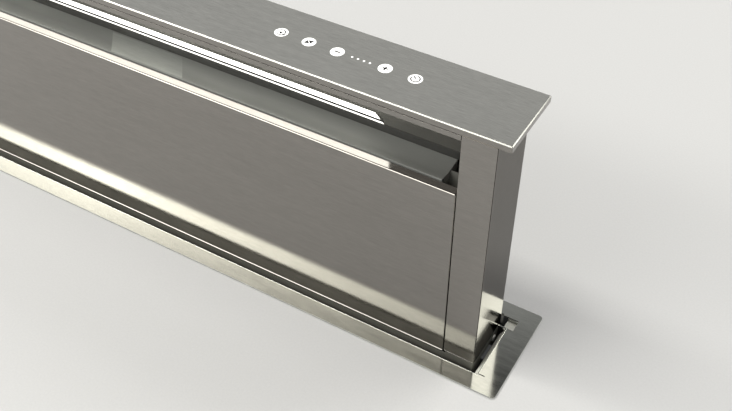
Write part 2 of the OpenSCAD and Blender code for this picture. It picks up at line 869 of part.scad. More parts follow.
module control_board() color(green) {
    floor_y = out_rear + sheet_t;
    board_y = floor_y + standoff_h;
    x0 = ebox_x0 + board_in;
    x1 = ebox_x1 - board_in;
    z0 = ebox_bot + 2 * board_in;
    z1 = ebox_top - board_in;
    slab(x0, x1, board_y, board_y + board_t, z0, z1);
    for (x = [x0 + 2 * standoff_r, x1 - 2 * standoff_r], z = [z0 + 2 * standoff_r, z1 - 2 * standoff_r])
        translate([x, floor_y, z])
            rod_y(standoff_r, standoff_h);
    for (i = [0 : 2])
        slab(x0 + (2 + 3 * i) * board_in, x0 + (4 + 3 * i) * board_in, board_y + board_t,
            board_y + board_t + board_in, z1 - 3 * board_in, z1 - 1.5 * board_in);
}

module cable_gland() color(black)
    translate([gland_x, gland_y, ebox_bot])
        difference() {
            union() {
                translate([0, 0, -gland_flange_h])
                    cylinder(r = gland_flange_r, h = gland_flange_h, $fn = 6);
                translate([0, 0, -gland_flange_h - gland_nose_h])
                    cylinder(r = gland_nose_r, h = gland_nose_h);
                cylinder(r = gland_thread_r, h = gland_thread_h);
            }
            translate([0, 0, -gland_flange_h - gland_nose_h - over])
                cylinder(r = gland_r, h = gland_flange_h + gland_nose_h + gland_thread_h + 2 * over);
        }

// Cap and controls

cap_hw = tower_hw + cap_over;
cap_y0 = tower_front + cap_setback;
cap_y1 = cap_y0 + cap_d;
key_row_y = tower_front + key_y;
key_xs = [
    key_end_x - dots_span - 3 * key_pitch, key_end_x - dots_span - 2 * key_pitch,
    key_end_x - dots_span - key_pitch, key_end_x - key_pitch, key_end_x
];
dots_x = key_end_x - key_pitch - dots_span / 2;
sheet_bot = cap_top - cap_skin;

module key_spots() {
    for (x = key_xs)
        translate([x, key_row_y, sheet_bot])
            children();
}

module dot_spots() {
    for (i = [-1.5 : 1 : 1.5])
        translate([dots_x + i * dot_pitch, key_row_y, sheet_bot])
            children();
}

module cap_plate() color(steel)
    difference() {
        slab(-cap_hw, cap_hw, cap_y0, cap_y1, cap_bot, cap_top);
        slab(-cap_hw + cap_skin, cap_hw - cap_skin, cap_y0 + cap_skin, cap_y1 - cap_skin, cap_bot - over,
            sheet_bot);
        key_spots()
            translate([0, 0, -over])
                cylinder(r = key_dia / 2 + inset_fit, h = cap_skin + 2 * over);
        dot_spots()
            translate([0, 0, -over])
                cylinder(r = dot_dia / 2 + inset_fit, h = cap_skin + 2 * over);
    }

module cap_base() color(steel_dark)
    slab(-cap_hw + cap_skin, cap_hw - cap_skin, cap_y0 + cap_skin, cap_y1 - cap_skin, cap_bot,
        cap_bot + skin_t);

module touch_board() color(green) {
    margin = key_dia;
    slab(key_xs[0] - margin, key_end_x + margin, key_row_y - margin, key_row_y + margin, sheet_bot - board_t,
        sheet_bot);
    for (x = [key_xs[0], key_end_x])
        translate([x, key_row_y, cap_bot + skin_t])
            cylinder(r = standoff_r, h = sheet_bot - board_t - cap_bot - skin_t);
}

module touch_discs() color(white)
    key_spots()
        cylinder(r = key_dia / 2, h = cap_skin);

module speed_dots() color(white)
    dot_spots()
        cylinder(r = dot_dia / 2, h = cap_skin, $fn = 24);

// Cladding

module end_post() color(steel)
    difference() {
        slab(post_in, tower_hw, tower_front, tower_rear, skin_bot, cap_bot);
        slab(post_in + skin_t, tower_hw - skin_t, tower_front + skin_t, tower_rear - skin_t, skin_bot - over,
            cap_bot + over);
    }

module tower_back() color(steel)
    slab(-post_in, post_in, tower_rear - skin_t, tower_rear, skin_bot, cap_bot);

module valance() color(steel)
    slab(-post_in + seat, post_in - seat, tower_front, tower_front + skin_t, valance_bot, cap_bot);

// Soffit: slopes down and back from the valance, then drops to the filters
module led_soffit() color(steel_dark) {
    drop = soffit_t / cos(soffit_angle);
    difference() {
        along_x(-post_in + seat, post_in - seat)
            polygon([
                [soffit_y0, soffit_z0], [soffit_y1, soffit_z1], [soffit_y1, filter_top],
                [soffit_y1 + soffit_t, filter_top],
                [soffit_y1 + soffit_t, soffit_z1 + drop - soffit_slope * soffit_t],
                [soffit_y0, soffit_z0 + drop]
            ]);
        on_soffit()
            translate([-led_l / 2 - seat / 2, led_drop - seat / 2, -over])
                cube([led_l + seat, led_w + seat, soffit_t + 2 * over]);
    }
}

// Frame on the soffit's lower face: X along the tower, Y down the slope, Z into the tower
module on_soffit() {
    translate([0, soffit_y0, soffit_z0])
        rotate([-soffit_angle, 0, 0])
            children();
}

module led_diffuser() color(white)
    on_soffit()
        translate([-led_l / 2, led_drop, 0])
            cube([led_l, led_w, led_t]);

module led_board() color("#d8d8d0")
    on_soffit()
        translate([-led_l / 2, led_drop, led_t])
            cube([led_l, led_w, led_board_t]);

// Hollow air-guide sheet with two end plates that are fixed to the soffit's drop
module intake_scoop() color(steel) {
    centre = [(scoop_y0 + scoop_y1) / 2, scoop_z + scoop_t + scoop_r - scoop_sag];
    half = asin(scoop_d / 2 / scoop_r);
    steps = 12;
    arc = [for (i = [-steps : steps]) let (a = half * i / steps) [sin(a), -cos(a)]];
    along_x(-scoop_l / 2, scoop_l / 2)
        polygon(concat(
            [for (p = arc) centre + scoop_r * p],
            [for (i = [2 * steps : -1 : 0]) centre + (scoop_r + scoop_t) * arc[i]]
        ));
    both_ends()
        slab(scoop_l / 2 - scoop_t, scoop_l / 2, scoop_y0 + 4 * scoop_t, soffit_y1, filter_top + rail_wall,
            scoop_z - scoop_sag + scoop_t / 2);
}

// Inner frame

module inner_column() color(zinc)
    difference() {
        slab(col_x0, col_x1, col_y0, col_y1, -tower_foot, col_top);
        slab(col_x0 + column_t, col_x1 - column_t, col_y0 + column_t, col_y1 - column_t, -tower_foot - over,
            col_top + over);
    }

module cross_rails() color(zinc) {
    low = -tower_foot;
    for (y = [col_y0, col_y1 - rail_t])
        slab(-col_x0, col_x0, y, y + rail_t, low, low + rail_h);
    slab(-bar_hw, bar_hw, tower_rear - skin_t - rail_t, tower_rear - skin_t, cap_bot - rail_h, cap_bot);
}

module lift_nuts() color("#b08d4a")
    both_ends()
        difference() {
            union() {
                slab(col_x0, col_x1, screw_y - nut_r, screw_y + nut_r, -tower_foot - nut_flange_t,
                    -tower_foot);
                translate([screw_x, screw_y, -tower_foot])
                    cylinder(r = nut_r, h = nut_h);
            }
            translate([screw_x, screw_y, -tower_foot - nut_flange_t - over])
                cylinder(r = screw_r + run_fit, h = nut_flange_t + nut_h + 2 * over);
        }

module slide_shoes() color(white)
    both_ends()
        for (top = [rail_top - 4 * seat, -tower_foot + shoe_h])
            difference() {
                slab(col_x1, in_hw - rail_base - slide_gap, screw_y - shoe_hw, screw_y + shoe_hw,
                    top - shoe_h, top);
                slab(rail_x0 - slide_gap, in_hw, screw_y - rib_t / 2 - seat, screw_y + rib_t / 2 + seat,
                    top - shoe_h - over, top + over);
            }

// Filters

module grease_filters() color("#b9bbbb")
    for (i = [0 : filter_n - 1])
        translate([-filter_hw + i * (filter_w + filter_gap), 0, 0]) {
            y1 = filter_y0 + rail_wall + filter_t;
            y0 = filter_y0 + rail_wall;
            z0 = filter_bot + seat;
            z1 = filter_top - seat;
            difference() {
                slab(0, filter_w, y0, y1, z0, z1);
                slab(filter_rim, filter_w - filter_rim, y0 - over, y1 + over, z0 + filter_rim,
                    z1 - filter_rim);
            }
            slab(filter_rim, filter_w - filter_rim, y0 + mesh_in, y1 - mesh_in, z0 + filter_rim,
                z1 - filter_rim);
        }

// U-channels above and below the filters
module filter_rails() color(zinc) {
    y0 = filter_y0;
    y1 = filter_y0 + filter_t + 2 * rail_wall;
    for (end = [[filter_bot, 1], [filter_top, -1]])
        for (part = [[y0, y1, -rail_wall, 0], [y0, y0 + rail_wall, 0, rail_lip],
                [y1 - rail_wall, y1, 0, rail_lip]]) {
            a = end[0] + end[1] * part[2];
            b = end[0] + end[1] * part[3];
            slab(-bar_hw, bar_hw, part[0], part[1], min(a, b), max(a, b));
        }
}

// Front panel

module panel_catches() color(black)
    let (y0 = panel_face + panel_rim + slide_gap)
        both_ends()
            slab(post_in - catch_w, post_in, y0, y0 + catch_d, filter_top - catch_h, filter_top);

module hinge_pins() color(steel)
    both_ends()
        translate([0, hinge_y, hinge_z]) {
            translate([ear_out - ear_w, 0, 0])
                rod_x(hinge_r, post_in - ear_out + ear_w);
            translate([post_in - panel_gap + seat, 0, 0])
                rod_x(1.6 * hinge_r, panel_gap - seat);
        }

module front_panel() color(steel) {
    difference() {
        upright(panel_face, panel_face + panel_rim)
            round_rect(-panel_hw, panel_hw, panel_bot, panel_top, panel_corner);
        upright(panel_face + skin_t, panel_face + panel_rim + over)
            round_rect(-panel_hw + skin_t, panel_hw - skin_t, panel_bot + skin_t, panel_top - skin_t,
                panel_corner - skin_t / 2);
        both_ends()
            translate([panel_hw - skin_t - over, hinge_y, hinge_z])
                rod_x(1.3 * hinge_r, skin_t + 2 * over);
    }
    both_ends()
        difference() {
            slab(ear_out - ear_w, ear_out, panel_face + skin_t, hinge_y + 1.8 * hinge_r, panel_bot + skin_t,
                hinge_z + 2 * hinge_r);
            translate([ear_out - ear_w - over, hinge_y, hinge_z])
                rod_x(hinge_r + run_fit, ear_w + 2 * over);
        }
}

// Two uprights and a cross bar glued to the back of the panel
module panel_stiffener() color(zinc) {
    y0 = panel_face + skin_t;
    y1 = panel_face + panel_rim;
    z0 = hinge_z + 4 * hinge_r;
    z1 = panel_top - skin_t - seat;
    both_ends()
        slab(panel_hw - rib_in - rib_w, panel_hw - rib_in + rib_w / 2, y0, y1, z0, z1);
    mid = (z0 + z1) / 2;
    slab(-panel_hw + rib_in + rib_w, panel_hw - rib_in - rib_w, y0, (y0 + y1) / 2, mid, mid + rib_w);
}

worktop_flange();
flange_gasket();
corner_ledges();
wiper_seals();
housing_front();
housing_back();
mirror([1, 0, 0]) housing_end();  // housing_end_left
housing_end();  // housing_end_right
housing_floor();
service_cover();
guide_rails();
lift_base_plate();
screw_bearings();
lift_motor();
motor_bracket();
lift_belt();
worktop_clamps();
floor_brackets();
housing_screws();
blower_box();
blower_cover();
blower_volute();
inlet_ring();
blower_motor();
outlet_collar();
flap_pin();
electronics_box();
electronics_cover();
control_board();
cable_gland();
cap_plate();
cap_base();
touch_board();
touch_discs();
speed_dots();
mirror([1, 0, 0]) end_post();  // end_post_left
end_post();  // end_post_right
tower_back();
valance();
led_soffit();
led_diffuser();
led_board();
intake_scoop();
mirror([1, 0, 0]) inner_column();  // inner_column_left
inner_column();  // inner_column_right
cross_rails();
lift_nuts();
slide_shoes();
grease_filters();
filter_rails();
panel_catches();
hinge_pins();
front_panel();
panel_stiffener();
mirror([1, 0, 0]) lift_screw();  // lift_screw_left
lift_screw();  // lift_screw_right
drive_pulley();
impeller();
flap_front();
flap_rear();
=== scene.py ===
import json
import math

import bmesh
import bpy
from mathutils import Matrix, Vector
from mathutils.geometry import tessellate_polygon


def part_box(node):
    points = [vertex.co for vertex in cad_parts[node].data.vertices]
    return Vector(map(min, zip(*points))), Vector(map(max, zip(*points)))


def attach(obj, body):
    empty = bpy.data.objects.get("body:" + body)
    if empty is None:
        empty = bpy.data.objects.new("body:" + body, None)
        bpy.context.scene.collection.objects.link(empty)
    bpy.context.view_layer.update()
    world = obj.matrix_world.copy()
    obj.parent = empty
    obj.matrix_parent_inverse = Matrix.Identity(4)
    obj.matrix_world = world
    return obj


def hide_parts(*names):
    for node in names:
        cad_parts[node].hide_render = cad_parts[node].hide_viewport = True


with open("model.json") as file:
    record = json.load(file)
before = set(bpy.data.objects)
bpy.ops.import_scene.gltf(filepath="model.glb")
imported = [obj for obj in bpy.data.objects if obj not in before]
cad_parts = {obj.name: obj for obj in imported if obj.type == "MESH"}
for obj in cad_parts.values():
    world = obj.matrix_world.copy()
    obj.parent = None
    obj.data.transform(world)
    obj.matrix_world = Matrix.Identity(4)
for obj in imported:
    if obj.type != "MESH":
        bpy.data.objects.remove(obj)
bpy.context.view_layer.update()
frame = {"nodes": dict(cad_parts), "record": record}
BODY_OF = {node: body for body, nodes in frame["record"]["behaviour"]["bodies"].items() for node in nodes}

# Lengths are in millimetres, in the part's own frame, and turn into metres when a mesh is made
MM = 0.001

# The photograph's camera: where it stands in metres, the way back from what it sees, its lens and its film
CAMERA_AT = (0.6382, -0.6533, 0.8567)
CAMERA_BACK = (0.3676, -0.6221, 0.6913)
LENS = 50
FILM = 36

# Sheets, the cap with its ground corner, and the posts' foot
SKIN = 1.2
BEND = 1.3
CAP_SKIN = 1.5
CAP_CORNER = 0.4
CAP_RIM = BEND + 0.3
CAP_EDGE = 0.88
EDGE_BREAK = 0.12
EDGE_DIP = 0.04
HOLE_PLAY = 0.12
ARC_STEPS = 5
CORNER_STEPS = 6
FOOT_HEM = 0.35

# Front panel: its rim, its hem, the open seam behind it, and the ears of its hinge
PANEL_RIM = 7.7
PANEL_CORNER = 1.5
HEM_INSET = 0.46
HEM_PROUD = 0.5
HEM_RAMP = 0.41
SEAM_FROM = 0.55
SEAM_TO = 1.4
SEAM_DEEP = 1.0
RIM_DROP = 0.8
RIM_FALL = 2.2
HINGE_BACK = 3.5
HINGE_UP = 9.5
HINGE_HOLE_R = 2.55
EAR_W = 9.0
EAR_PLAY = 0.3

# Flange: its cut-out and notches, its lips with their rolled beads, and what lines the slot
FLANGE_T = 1.2
FLANGE_CORNER = 4.0
FLANGE_BREAK = 0.35
OPEN_HW = 411.2
OPEN_FRONT = -42.5
OPEN_REAR = 43.4
NOTCH_FRONT = 28.0
NOTCH_X = 419.5
TOWER_HW = 401.5
LIP_REACH = BEND + 1.2
LIP_BOT = -12.0
SLIT = 1.1
BEAD = 0.4
SIDE_BEAD = 0.22
BEAD_OFF = 1.2
BEAD_SUNK = 0.33
TAB = 0.7
LINING = 0.12
SEAL_T = 0.7
SEAL_TOP = -1.2
SEAL_TIP = -34.4
SEAL_HANG = 11.3
SIDE_SEAL_HANG = 10.8

# Intake: the soffit's slope, what lies how far down it, and the air guide
SOFFIT_SLOPE = 1.5
LED_HALF = 274.8
LED_RECESS = 277.4
LED_FROM = 14.4
LED_TO = 31.6
LIP_FROM = 39.0
LIP_TO = 44.9
TAIL_FROM = 45.4
TAIL_TO = 92.0
TAIL_HALF = 365.3
SCOOP_HALF = 346.1
SCOOP_SAG = 1.6
SCOOP_T = 1.0
SCOOP_STEPS = 32
# The plate on the air guide paints a reflection: its thickness, where it starts and ends along X, and the
# slant of its ends
PLATE_T = 0.2
PLATE_FROM = -75.0
PLATE_TO = 20.0
PLATE_SLANT = 0.78

# Heads on the wipers along X, the guide buttons, and the plane in Y that the rear heads face away from
WIPER_HEADS_FRONT = (-350, -126)
WIPER_HEADS_REAR = (-350, -126, 126, 350)
BUTTON_Y = 23.5
BUTTON_Z = -17.0
REAR_HEADS_FROM = 60.0

# Lift
SCREW_R = 6.0
THREAD_DEPTH = 0.9
THREAD_LEAD = 10.0
THREAD_STARTS = 4
PULLEY_R = 14.0
PULLEY_BOT = -425.7
PULLEY_TOP = -413.7
PULLEY_TEETH = 28

# Worktop round the part: its ends and its edges
WORKTOP = (-660, 780, -440, 900)

# Directions for a drawing in a plane: where its own X, Y and Z go
FLAT = Matrix.Identity(4)
ALONG_X = Matrix(((0, 0, 1, 0), (1, 0, 0, 0), (0, 1, 0, 0), (0, 0, 0, 1)))
UPRIGHT = Matrix(((1, 0, 0, 0), (0, 0, -1, 0), (0, 1, 0, 0), (0, 0, 0, 1)))


# Measuring the frame

def span(node):
    """Lowest and highest corner of a node, in millimetres"""
    low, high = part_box(node)
    return Vector(low) / MM, Vector(high) / MM


def loose_parts(node):
    """Lowest and highest corner of each separate solid of a node, in millimetres"""
    mesh = frame["nodes"][node].data
    key_of = [tuple(round(c / MM, 2) for c in v.co) for v in mesh.vertices]
    leader = {key: key for key in key_of}

    def find(key):
        while leader[key] != key:
            leader[key] = leader[leader[key]]
            key = leader[key]
        return key

    for face in mesh.polygons:
        first = find(key_of[face.vertices[0]])
        for i in face.vertices[1:]:
            leader[find(key_of[i])] = first
    groups = {}
    for key in leader:
        groups.setdefault(find(key), []).append(key)
    boxes = [(Vector(map(min, zip(*keys))), Vector(map(max, zip(*keys)))) for keys in groups.values()]
    return sorted(boxes, key=lambda b: tuple(b[0]))


def pins(node):
    """Middle, radius, foot and top of each upright round solid of a node"""
    return [((low.x + high.x) / 2, (low.y + high.y) / 2, (high.x - low.x) / 2, low.z, high.z)
            for low, high in loose_parts(node)]


# Outlines

def ring(radius, count, centre=(0, 0), start=0.0, sweep=2 * math.pi):
    """Points round a circle or an arc"""
    turns = [start + sweep * i / count for i in range(count)]
    return [(centre[0] + radius * math.cos(a), centre[1] + radius * math.sin(a)) for a in turns]


def half_round(radius, centre, start=0.0, count=14):
    """Half a circle, with both its ends"""
    return ring(radius, count, centre, start, math.pi * count / (count - 1))


def rounded(x0, x1, y0, y1, radius, steps=ARC_STEPS):
    """Rectangle with round corners, counter-clockwise from its lower right"""
    points = []
    for cx, cy, start in (
        (x1 - radius, y0 + radius, -90), (x1 - radius, y1 - radius, 0),
        (x0 + radius, y1 - radius, 90), (x0 + radius, y0 + radius, 180),
    ):
        for i in range(steps + 1):
            a = math.radians(start + 90 * i / steps)
            points.append((cx + radius * math.cos(a), cy + radius * math.sin(a)))
    return points


def drawn_in(low, high, inset, radius, steps=ARC_STEPS):
    """A box's outline from above, smaller by an inset all round"""
    return rounded(low.x + inset, high.x - inset, low.y + inset, high.y - inset, radius, steps)


def filleted(points, radius):
    """Path whose corners are rounded"""
    points = [Vector(p) for p in points]
    path = [points[0]]
    for a, b, c in zip(points, points[1:], points[2:]):
        u, v = (a - b).normalized(), (c - b).normalized()
        half = u.angle(v) / 2
        reach = radius / math.tan(half)
        centre = b + (u + v).normalized() * (radius / math.sin(half))
        start, end = b + u * reach - centre, b + v * reach - centre
        shares = [i / ARC_STEPS for i in range(ARC_STEPS + 1)]
        path += [centre + start.lerp(end, share).normalized() * radius for share in shares]
    return path + [points[-1]]


def strip(points, thickness, radius=0.0):
    """Outline of a bent sheet that follows a path"""
    path = filleted(points, radius) if radius else [Vector(p) for p in points]
    one, other = [], []
    for i, p in enumerate(path):
        ahead = path[min(i + 1, len(path) - 1)] - path[max(i - 1, 0)]
        across = Vector((-ahead.y, ahead.x)).normalized() * (thickness / 2)
        one.append(tuple(p + across))
        other.append(tuple(p - across))
    return one + other[::-1]


def swung(points, angle, x=0.0, y=0.0):
    """Points turned by an angle in degrees and then moved"""
    c, s = math.cos(math.radians(angle)), math.sin(math.radians(angle))
    return [(x + u * c - v * s, y + u * s + v * c) for u, v in points]


def both_sides(inner, outer):
    """The stretches of X between an inner and an outer distance, left and right"""
    return ((-outer, -inner), (inner, outer))


def walls(low, high):
    """Faces between two closed rows of points, which are given by their numbers"""
    n = len(low)
    return [(low[i], low[(i + 1) % n], high[(i + 1) % n], high[i]) for i in range(n)]


# Making pieces

class Build:
    """Collects the faces of one piece, in millimetres"""

    def __init__(self):
        self.bm = bmesh.new()

    def add(self, verts, faces, place=FLAT):
        made = [self.bm.verts.new(place @ Vector(v)) for v in verts]
        for face in faces:
            self.bm.faces.new([made[i] for i in face])

    def skin(self, rows, ends=False):
        """A skin over rows of points, closed at its ends or else joined from the last row to the first"""
        n = len(rows[0])
        numbers = [range(k * n, (k + 1) * n) for k in range(len(rows))]
        faces = [face for low, high in zip(numbers, numbers[1:]) for face in walls(low, high)]
        if ends:
            faces += [tuple(reversed(numbers[0])), tuple(numbers[-1])]
        else:
            faces += walls(numbers[-1], numbers[0])
        self.add([p for row in rows for p in row], faces)

    def rings(self, levels):
        """A closed skin through outlines that lie at heights of their own"""
        self.skin([[(x, y, z) for x, y in outline] for outline, z in levels])

    def tube(self, outer, inner, a, b):
        """The space between two outlines that have as many points as each other"""
        self.rings([(outer, a), (outer, b), (inner, b), (inner, a)])

    def prism(self, outline, a, b, place=FLAT, holes=()):
        """A drawing with holes, given a thickness from a to b"""
        loops = [list(outline)] + [list(h) for h in holes]
        flat = [p for loop in loops for p in loop]
        n = len(flat)
        caps = [tuple(range(n))]
        if holes:
            caps = tessellate_polygon([[Vector((*p, 0)) for p in loop] for loop in loops])
        faces = [tuple(reversed(f)) for f in caps] + [tuple(i + n for i in f) for f in caps]
        first = 0
        for loop in loops:
            last = first + len(loop)
            faces += walls(range(first, last), range(first + n, last + n))
            first = last
        self.add([(*p, a) for p in flat] + [(*p, b) for p in flat], faces, place)

    def block(self, low, high):
        (x0, y0, z0), (x1, y1, z1) = low, high
        self.prism([(x0, y0), (x1, y0), (x1, y1), (x0, y1)], z0, z1)

    def turned(self, profile, place=FLAT, count=32):
        """A profile of (radius, height) turned round Z, closed where its radius is nothing"""
        verts, rows = [], []
        for r, z in profile:
            points = ring(r, count) if r else [(0, 0)]
            rows.append([len(verts) + i % len(points) for i in range(count)])
            verts += [(*p, z) for p in points]
        faces = []
        for low, high in zip(rows, rows[1:]):
            # A wall that meets the axis is a triangle, and one along the axis is nothing
            slim = [tuple(dict.fromkeys(face)) for face in walls(low, high)]
            faces += [face for face in slim if len(face) > 2]
        self.add(verts, faces, place)

    def mesh(self, name):
        bmesh.ops.recalc_face_normals(self.bm, faces=self.bm.faces)
        bmesh.ops.scale(self.bm, vec=(MM, MM, MM), verts=self.bm.verts)
        mesh = bpy.data.meshes.new(name)
        self.bm.to_mesh(mesh)
        self.bm.free()
        return mesh

    def piece(self, name, finish, body, replaces=(), ease=0.0):
        dress(self.mesh(name), name, finish, body, replaces, ease)


def dress(mesh, name, finish, body, replaces, ease):
    """Puts a mesh in the scene with eased edges, smooth shading, a finish and a body"""
    mesh.materials.clear()
    mesh.materials.append(finish.material)
    obj = bpy.data.objects.new(name, mesh)
    bpy.context.scene.collection.objects.link(obj)
    if ease:
        bevel = obj.modifiers.new("eased_edges", "BEVEL")
        bevel.width = ease * MM
        bevel.segments = 2
        bevel.limit_method = "ANGLE"
        bevel.angle_limit = math.radians(40)
        bpy.context.view_layer.update()
        graph = bpy.context.evaluated_depsgraph_get()
        eased = bpy.data.meshes.new_from_object(obj.evaluated_get(graph))
        obj.modifiers.clear()
        obj.data = eased
    obj.data.shade_smooth()
    obj.data.set_sharp_from_angle(angle=math.radians(38))
    even = obj.modifiers.new("even_shading", "WEIGHTED_NORMAL")
    even.keep_sharp = True
    even.weight = 80
    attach(obj, body)
    if replaces:
        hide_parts(*replaces)


def eased_copy(node, name, finish, ease):
    """A node's own shape with its edges eased, for pressed, moulded and turned pieces"""
    bm = bmesh.new()
    bm.from_mesh(frame["nodes"][node].data)
    bmesh.ops.remove_doubles(bm, verts=bm.verts, dist=1e-6)
    bmesh.ops.dissolve_limit(
        bm, angle_limit=math.radians(0.5), use_dissolve_boundaries=False, verts=bm.verts, edges=bm.edges)
    mesh = bpy.data.meshes.new(name)
    bm.to_mesh(mesh)
    bm.free()
    dress(mesh, name, finish, BODY_OF[node], (node,), ease)


# Wiring of shaders

def grey(value):
    return (value, value, value, 1.0)


def shade(colour, factor):
    return tuple(c * factor for c in colour[:3]) + (1.0,)


class Wiring:
    """Adds nodes to one tree; wherever a value is asked for, another node's output will do"""

    def __init__(self, tree):
        self.tree = tree

    def feed(self, socket, value):
        if hasattr(value, "is_output"):
            self.tree.links.new(value, socket)
        else:
            socket.default_value = value

    def put(self, kind, inputs=None, **settings):
        made = self.tree.nodes.new("ShaderNode" + kind)
        for key, value in settings.items():
            setattr(made, key, value)
        for key, value in (inputs or {}).items():
            self.feed(made.inputs[key], value)
        return made

    def use(self, effect, **inputs):
        """Places an effect, and gives its outputs"""
        return self.put("Group", inputs, node_tree=effect).outputs

    def maths(self, operation, a, b=0.0, clamp=False):
        return self.put("Math", {0: a, 1: b}, operation=operation, use_clamp=clamp).outputs[0]

    def times(self, a, b, clamp=False):
        return self.maths("MULTIPLY", a, b, clamp)

    def plus(self, a, b, clamp=False):
        return self.maths("ADD", a, b, clamp)

    def over(self, a, b):
        return self.maths("DIVIDE", a, b)

    def zigzag(self, value):
        return self.maths("PINGPONG", value, 0.5)

    def between(self, value, low, high, to_low=0.0, to_high=1.0):
        """What a value becomes when low turns into to_low and high into to_high"""
        return self.put("MapRange", {"Value": value, "From Min": low, "From Max": high,
                                     "To Min": to_low, "To Max": to_high}).outputs["Result"]

    def mix(self, factor, one, other):
        return self.put("Mix", {0: factor, 6: one, 7: other}, data_type="RGBA").outputs[2]

    def split(self, place):
        return self.put("SeparateXYZ", {0: place}).outputs

    def join(self, x, y, z):
        return self.put("CombineXYZ", {0: x, 1: y, 2: z}).outputs[0]

    def vector(self, operation, a, b):
        return self.put("VectorMath", {0: a, 1: b}, operation=operation).outputs[0]

    def noise(self, place, scale, detail=2.0, rough=0.5, bend=0.0):
        return self.put("TexNoise", {"Vector": place, "Scale": scale, "Detail": detail, "Roughness": rough,
                                     "Distortion": bend}).outputs["Fac"]

    def stretched_noise(self, place, scale, detail=2.0, rough=0.5):
        return self.noise(self.vector("MULTIPLY", place, scale), 1.0, detail, rough)

    def cells(self, place, scale, **settings):
        return self.put("TexVoronoi", {"Vector": place, "Scale": scale}, **settings).outputs

    def channel(self, colour, number):
        return self.put("SeparateColor", {0: colour}).outputs[number]


# Effects that several finishes share

def start_effect(name, **inputs):
    """A new node group that takes a place and some numbers: its wiring and its inputs"""
    tree = bpy.data.node_groups.new(name, "ShaderNodeTree")
    tree.interface.new_socket("Place", in_out="INPUT", socket_type="NodeSocketVector")
    for label, default in inputs.items():
        socket = tree.interface.new_socket(label, in_out="INPUT", socket_type="NodeSocketFloat")
        socket.default_value = default
    return Wiring(tree), tree.nodes.new("NodeGroupInput").outputs


def end_effect(w, **results):
    """Gives a node group its outputs"""
    for label in results:
        w.tree.interface.new_socket(label, in_out="OUTPUT", socket_type="NodeSocketFloat")
    out = w.tree.nodes.new("NodeGroupOutput")
    for label, value in results.items():
        w.feed(out.inputs[label], value)
    return w.tree


def make_brushed_grain():
    """Fine strokes along the group's own X, and the uneven pressure of the belt"""
    w, given = start_effect("brushed_grain", Strokes=900.0, Length=0.02)
    along, across = w.over(1.0, given["Length"]), given["Strokes"]
    fine = w.stretched_noise(given["Place"], w.join(along, across, across), 3.0, 0.6)
    wide = w.times(across, 0.16)
    coarse = w.stretched_noise(given["Place"], w.join(w.times(along, 0.25), wide, wide))
    stroke = w.plus(w.times(fine, 0.7), w.times(coarse, 0.3))
    return end_effect(w, Stroke=w.between(stroke, 0.32, 0.68), Pressure=w.between(coarse, 0.3, 0.7))


def make_handling():
    """Soft clouds where a surface was wiped, and a few faint streaks"""
    w, given = start_effect("handling_marks", Patches=7.0)
    cloud = w.noise(given["Place"], given["Patches"], 3.0, 0.55)
    swirl = w.noise(given["Place"], 38.0, bend=1.6)
    return end_effect(w, Cloud=w.between(cloud, 0.35, 0.7), Streak=w.between(swirl, 0.6, 0.75))


def make_spangle():
    """Zinc crystals: a tone for each, and the lines between them"""
    w, given = start_effect("zinc_spangle", Crystals=90.0)
    drift = w.put("TexNoise", {"Vector": given["Place"], "Scale": 60.0, "Detail": 2.0}).outputs["Color"]
    moved = w.vector("ADD", given["Place"], w.vector("MULTIPLY", drift, (0.006, 0.006, 0.006)))
    tone = w.channel(w.cells(moved, given["Crystals"])["Color"], 0)
    fleck = w.channel(w.cells(moved, w.times(given["Crystals"], 2.7))["Color"], 1)
    edge = w.cells(moved, given["Crystals"], feature="DISTANCE_TO_EDGE")["Distance"]
    return end_effect(w, Tone=w.plus(w.times(tone, 0.65), w.times(fleck, 0.35)),
                      Seam=w.between(edge, 0.0, 0.05, 1.0, 0.0))


def make_moulded():
    """The spark-eroded skin of a moulding tool"""
    w, given = start_effect("moulded_skin", Grains=900.0)
    flow = w.noise(given["Place"], 14.0, 3.0, bend=0.8)
    return end_effect(w, Height=w.noise(given["Place"], given["Grains"]), Tone=w.between(flow, 0.35, 0.7))


def make_turning():
    """Tool marks left by a lathe or a drawing die, as bands across the group's Z"""
    w, given = start_effect("turning_marks", Bands=1400.0)
    level = w.times(w.split(given["Place"])[2], given["Bands"])
    line = w.put("TexNoise", {"W": level, "Detail": 2.0, "Scale": 1.0}, noise_dimensions="1D").outputs["Fac"]
    return end_effect(w, Groove=line, Drift=w.between(w.noise(given["Place"], 45.0, 3.0), 0.35, 0.7))


def make_weave():
    """Diamond strands of an expanded sheet, in the group's X and Z"""
    w, given = start_effect("expanded_strands", Pitch=0.0042)
    parts = w.split(given["Place"])
    x = w.over(parts[0], given["Pitch"])
    z = w.over(parts[2], w.times(given["Pitch"], 0.55))
    near = w.maths("MINIMUM", w.zigzag(w.plus(x, z)), w.zigzag(w.maths("SUBTRACT", x, z)))
    return end_effect(w, Strand=w.between(near, 0.1, 0.22, 1.0, 0.0),
                      Depth=w.between(near, 0.0, 0.3, 1.0, 0.0))


def make_tracks():
    """Copper tracks and pads under a solder mask"""
    w, given = start_effect("board_tracks", Pitch=0.004)
    inverse = w.over(1.0, given["Pitch"])
    moved = w.put("VectorMath", {0: given["Place"], 3: inverse}, operation="SCALE").outputs[0]
    parts = w.split(moved)
    turn = w.channel(w.cells(moved, 0.4, distance="MANHATTAN")["Color"], 0)
    pick = w.maths("GREATER_THAN", turn, 0.5)
    line = w.plus(w.times(w.zigzag(parts[0]), pick),
                  w.times(w.zigzag(w.plus(parts[1], parts[2])), w.maths("SUBTRACT", 1.0, pick)))
    return end_effect(w, Track=w.between(line, 0.1, 0.14, 1.0, 0.0),
                      Pad=w.between(w.cells(moved, 0.8)["Distance"], 0.12, 0.16, 1.0, 0.0))


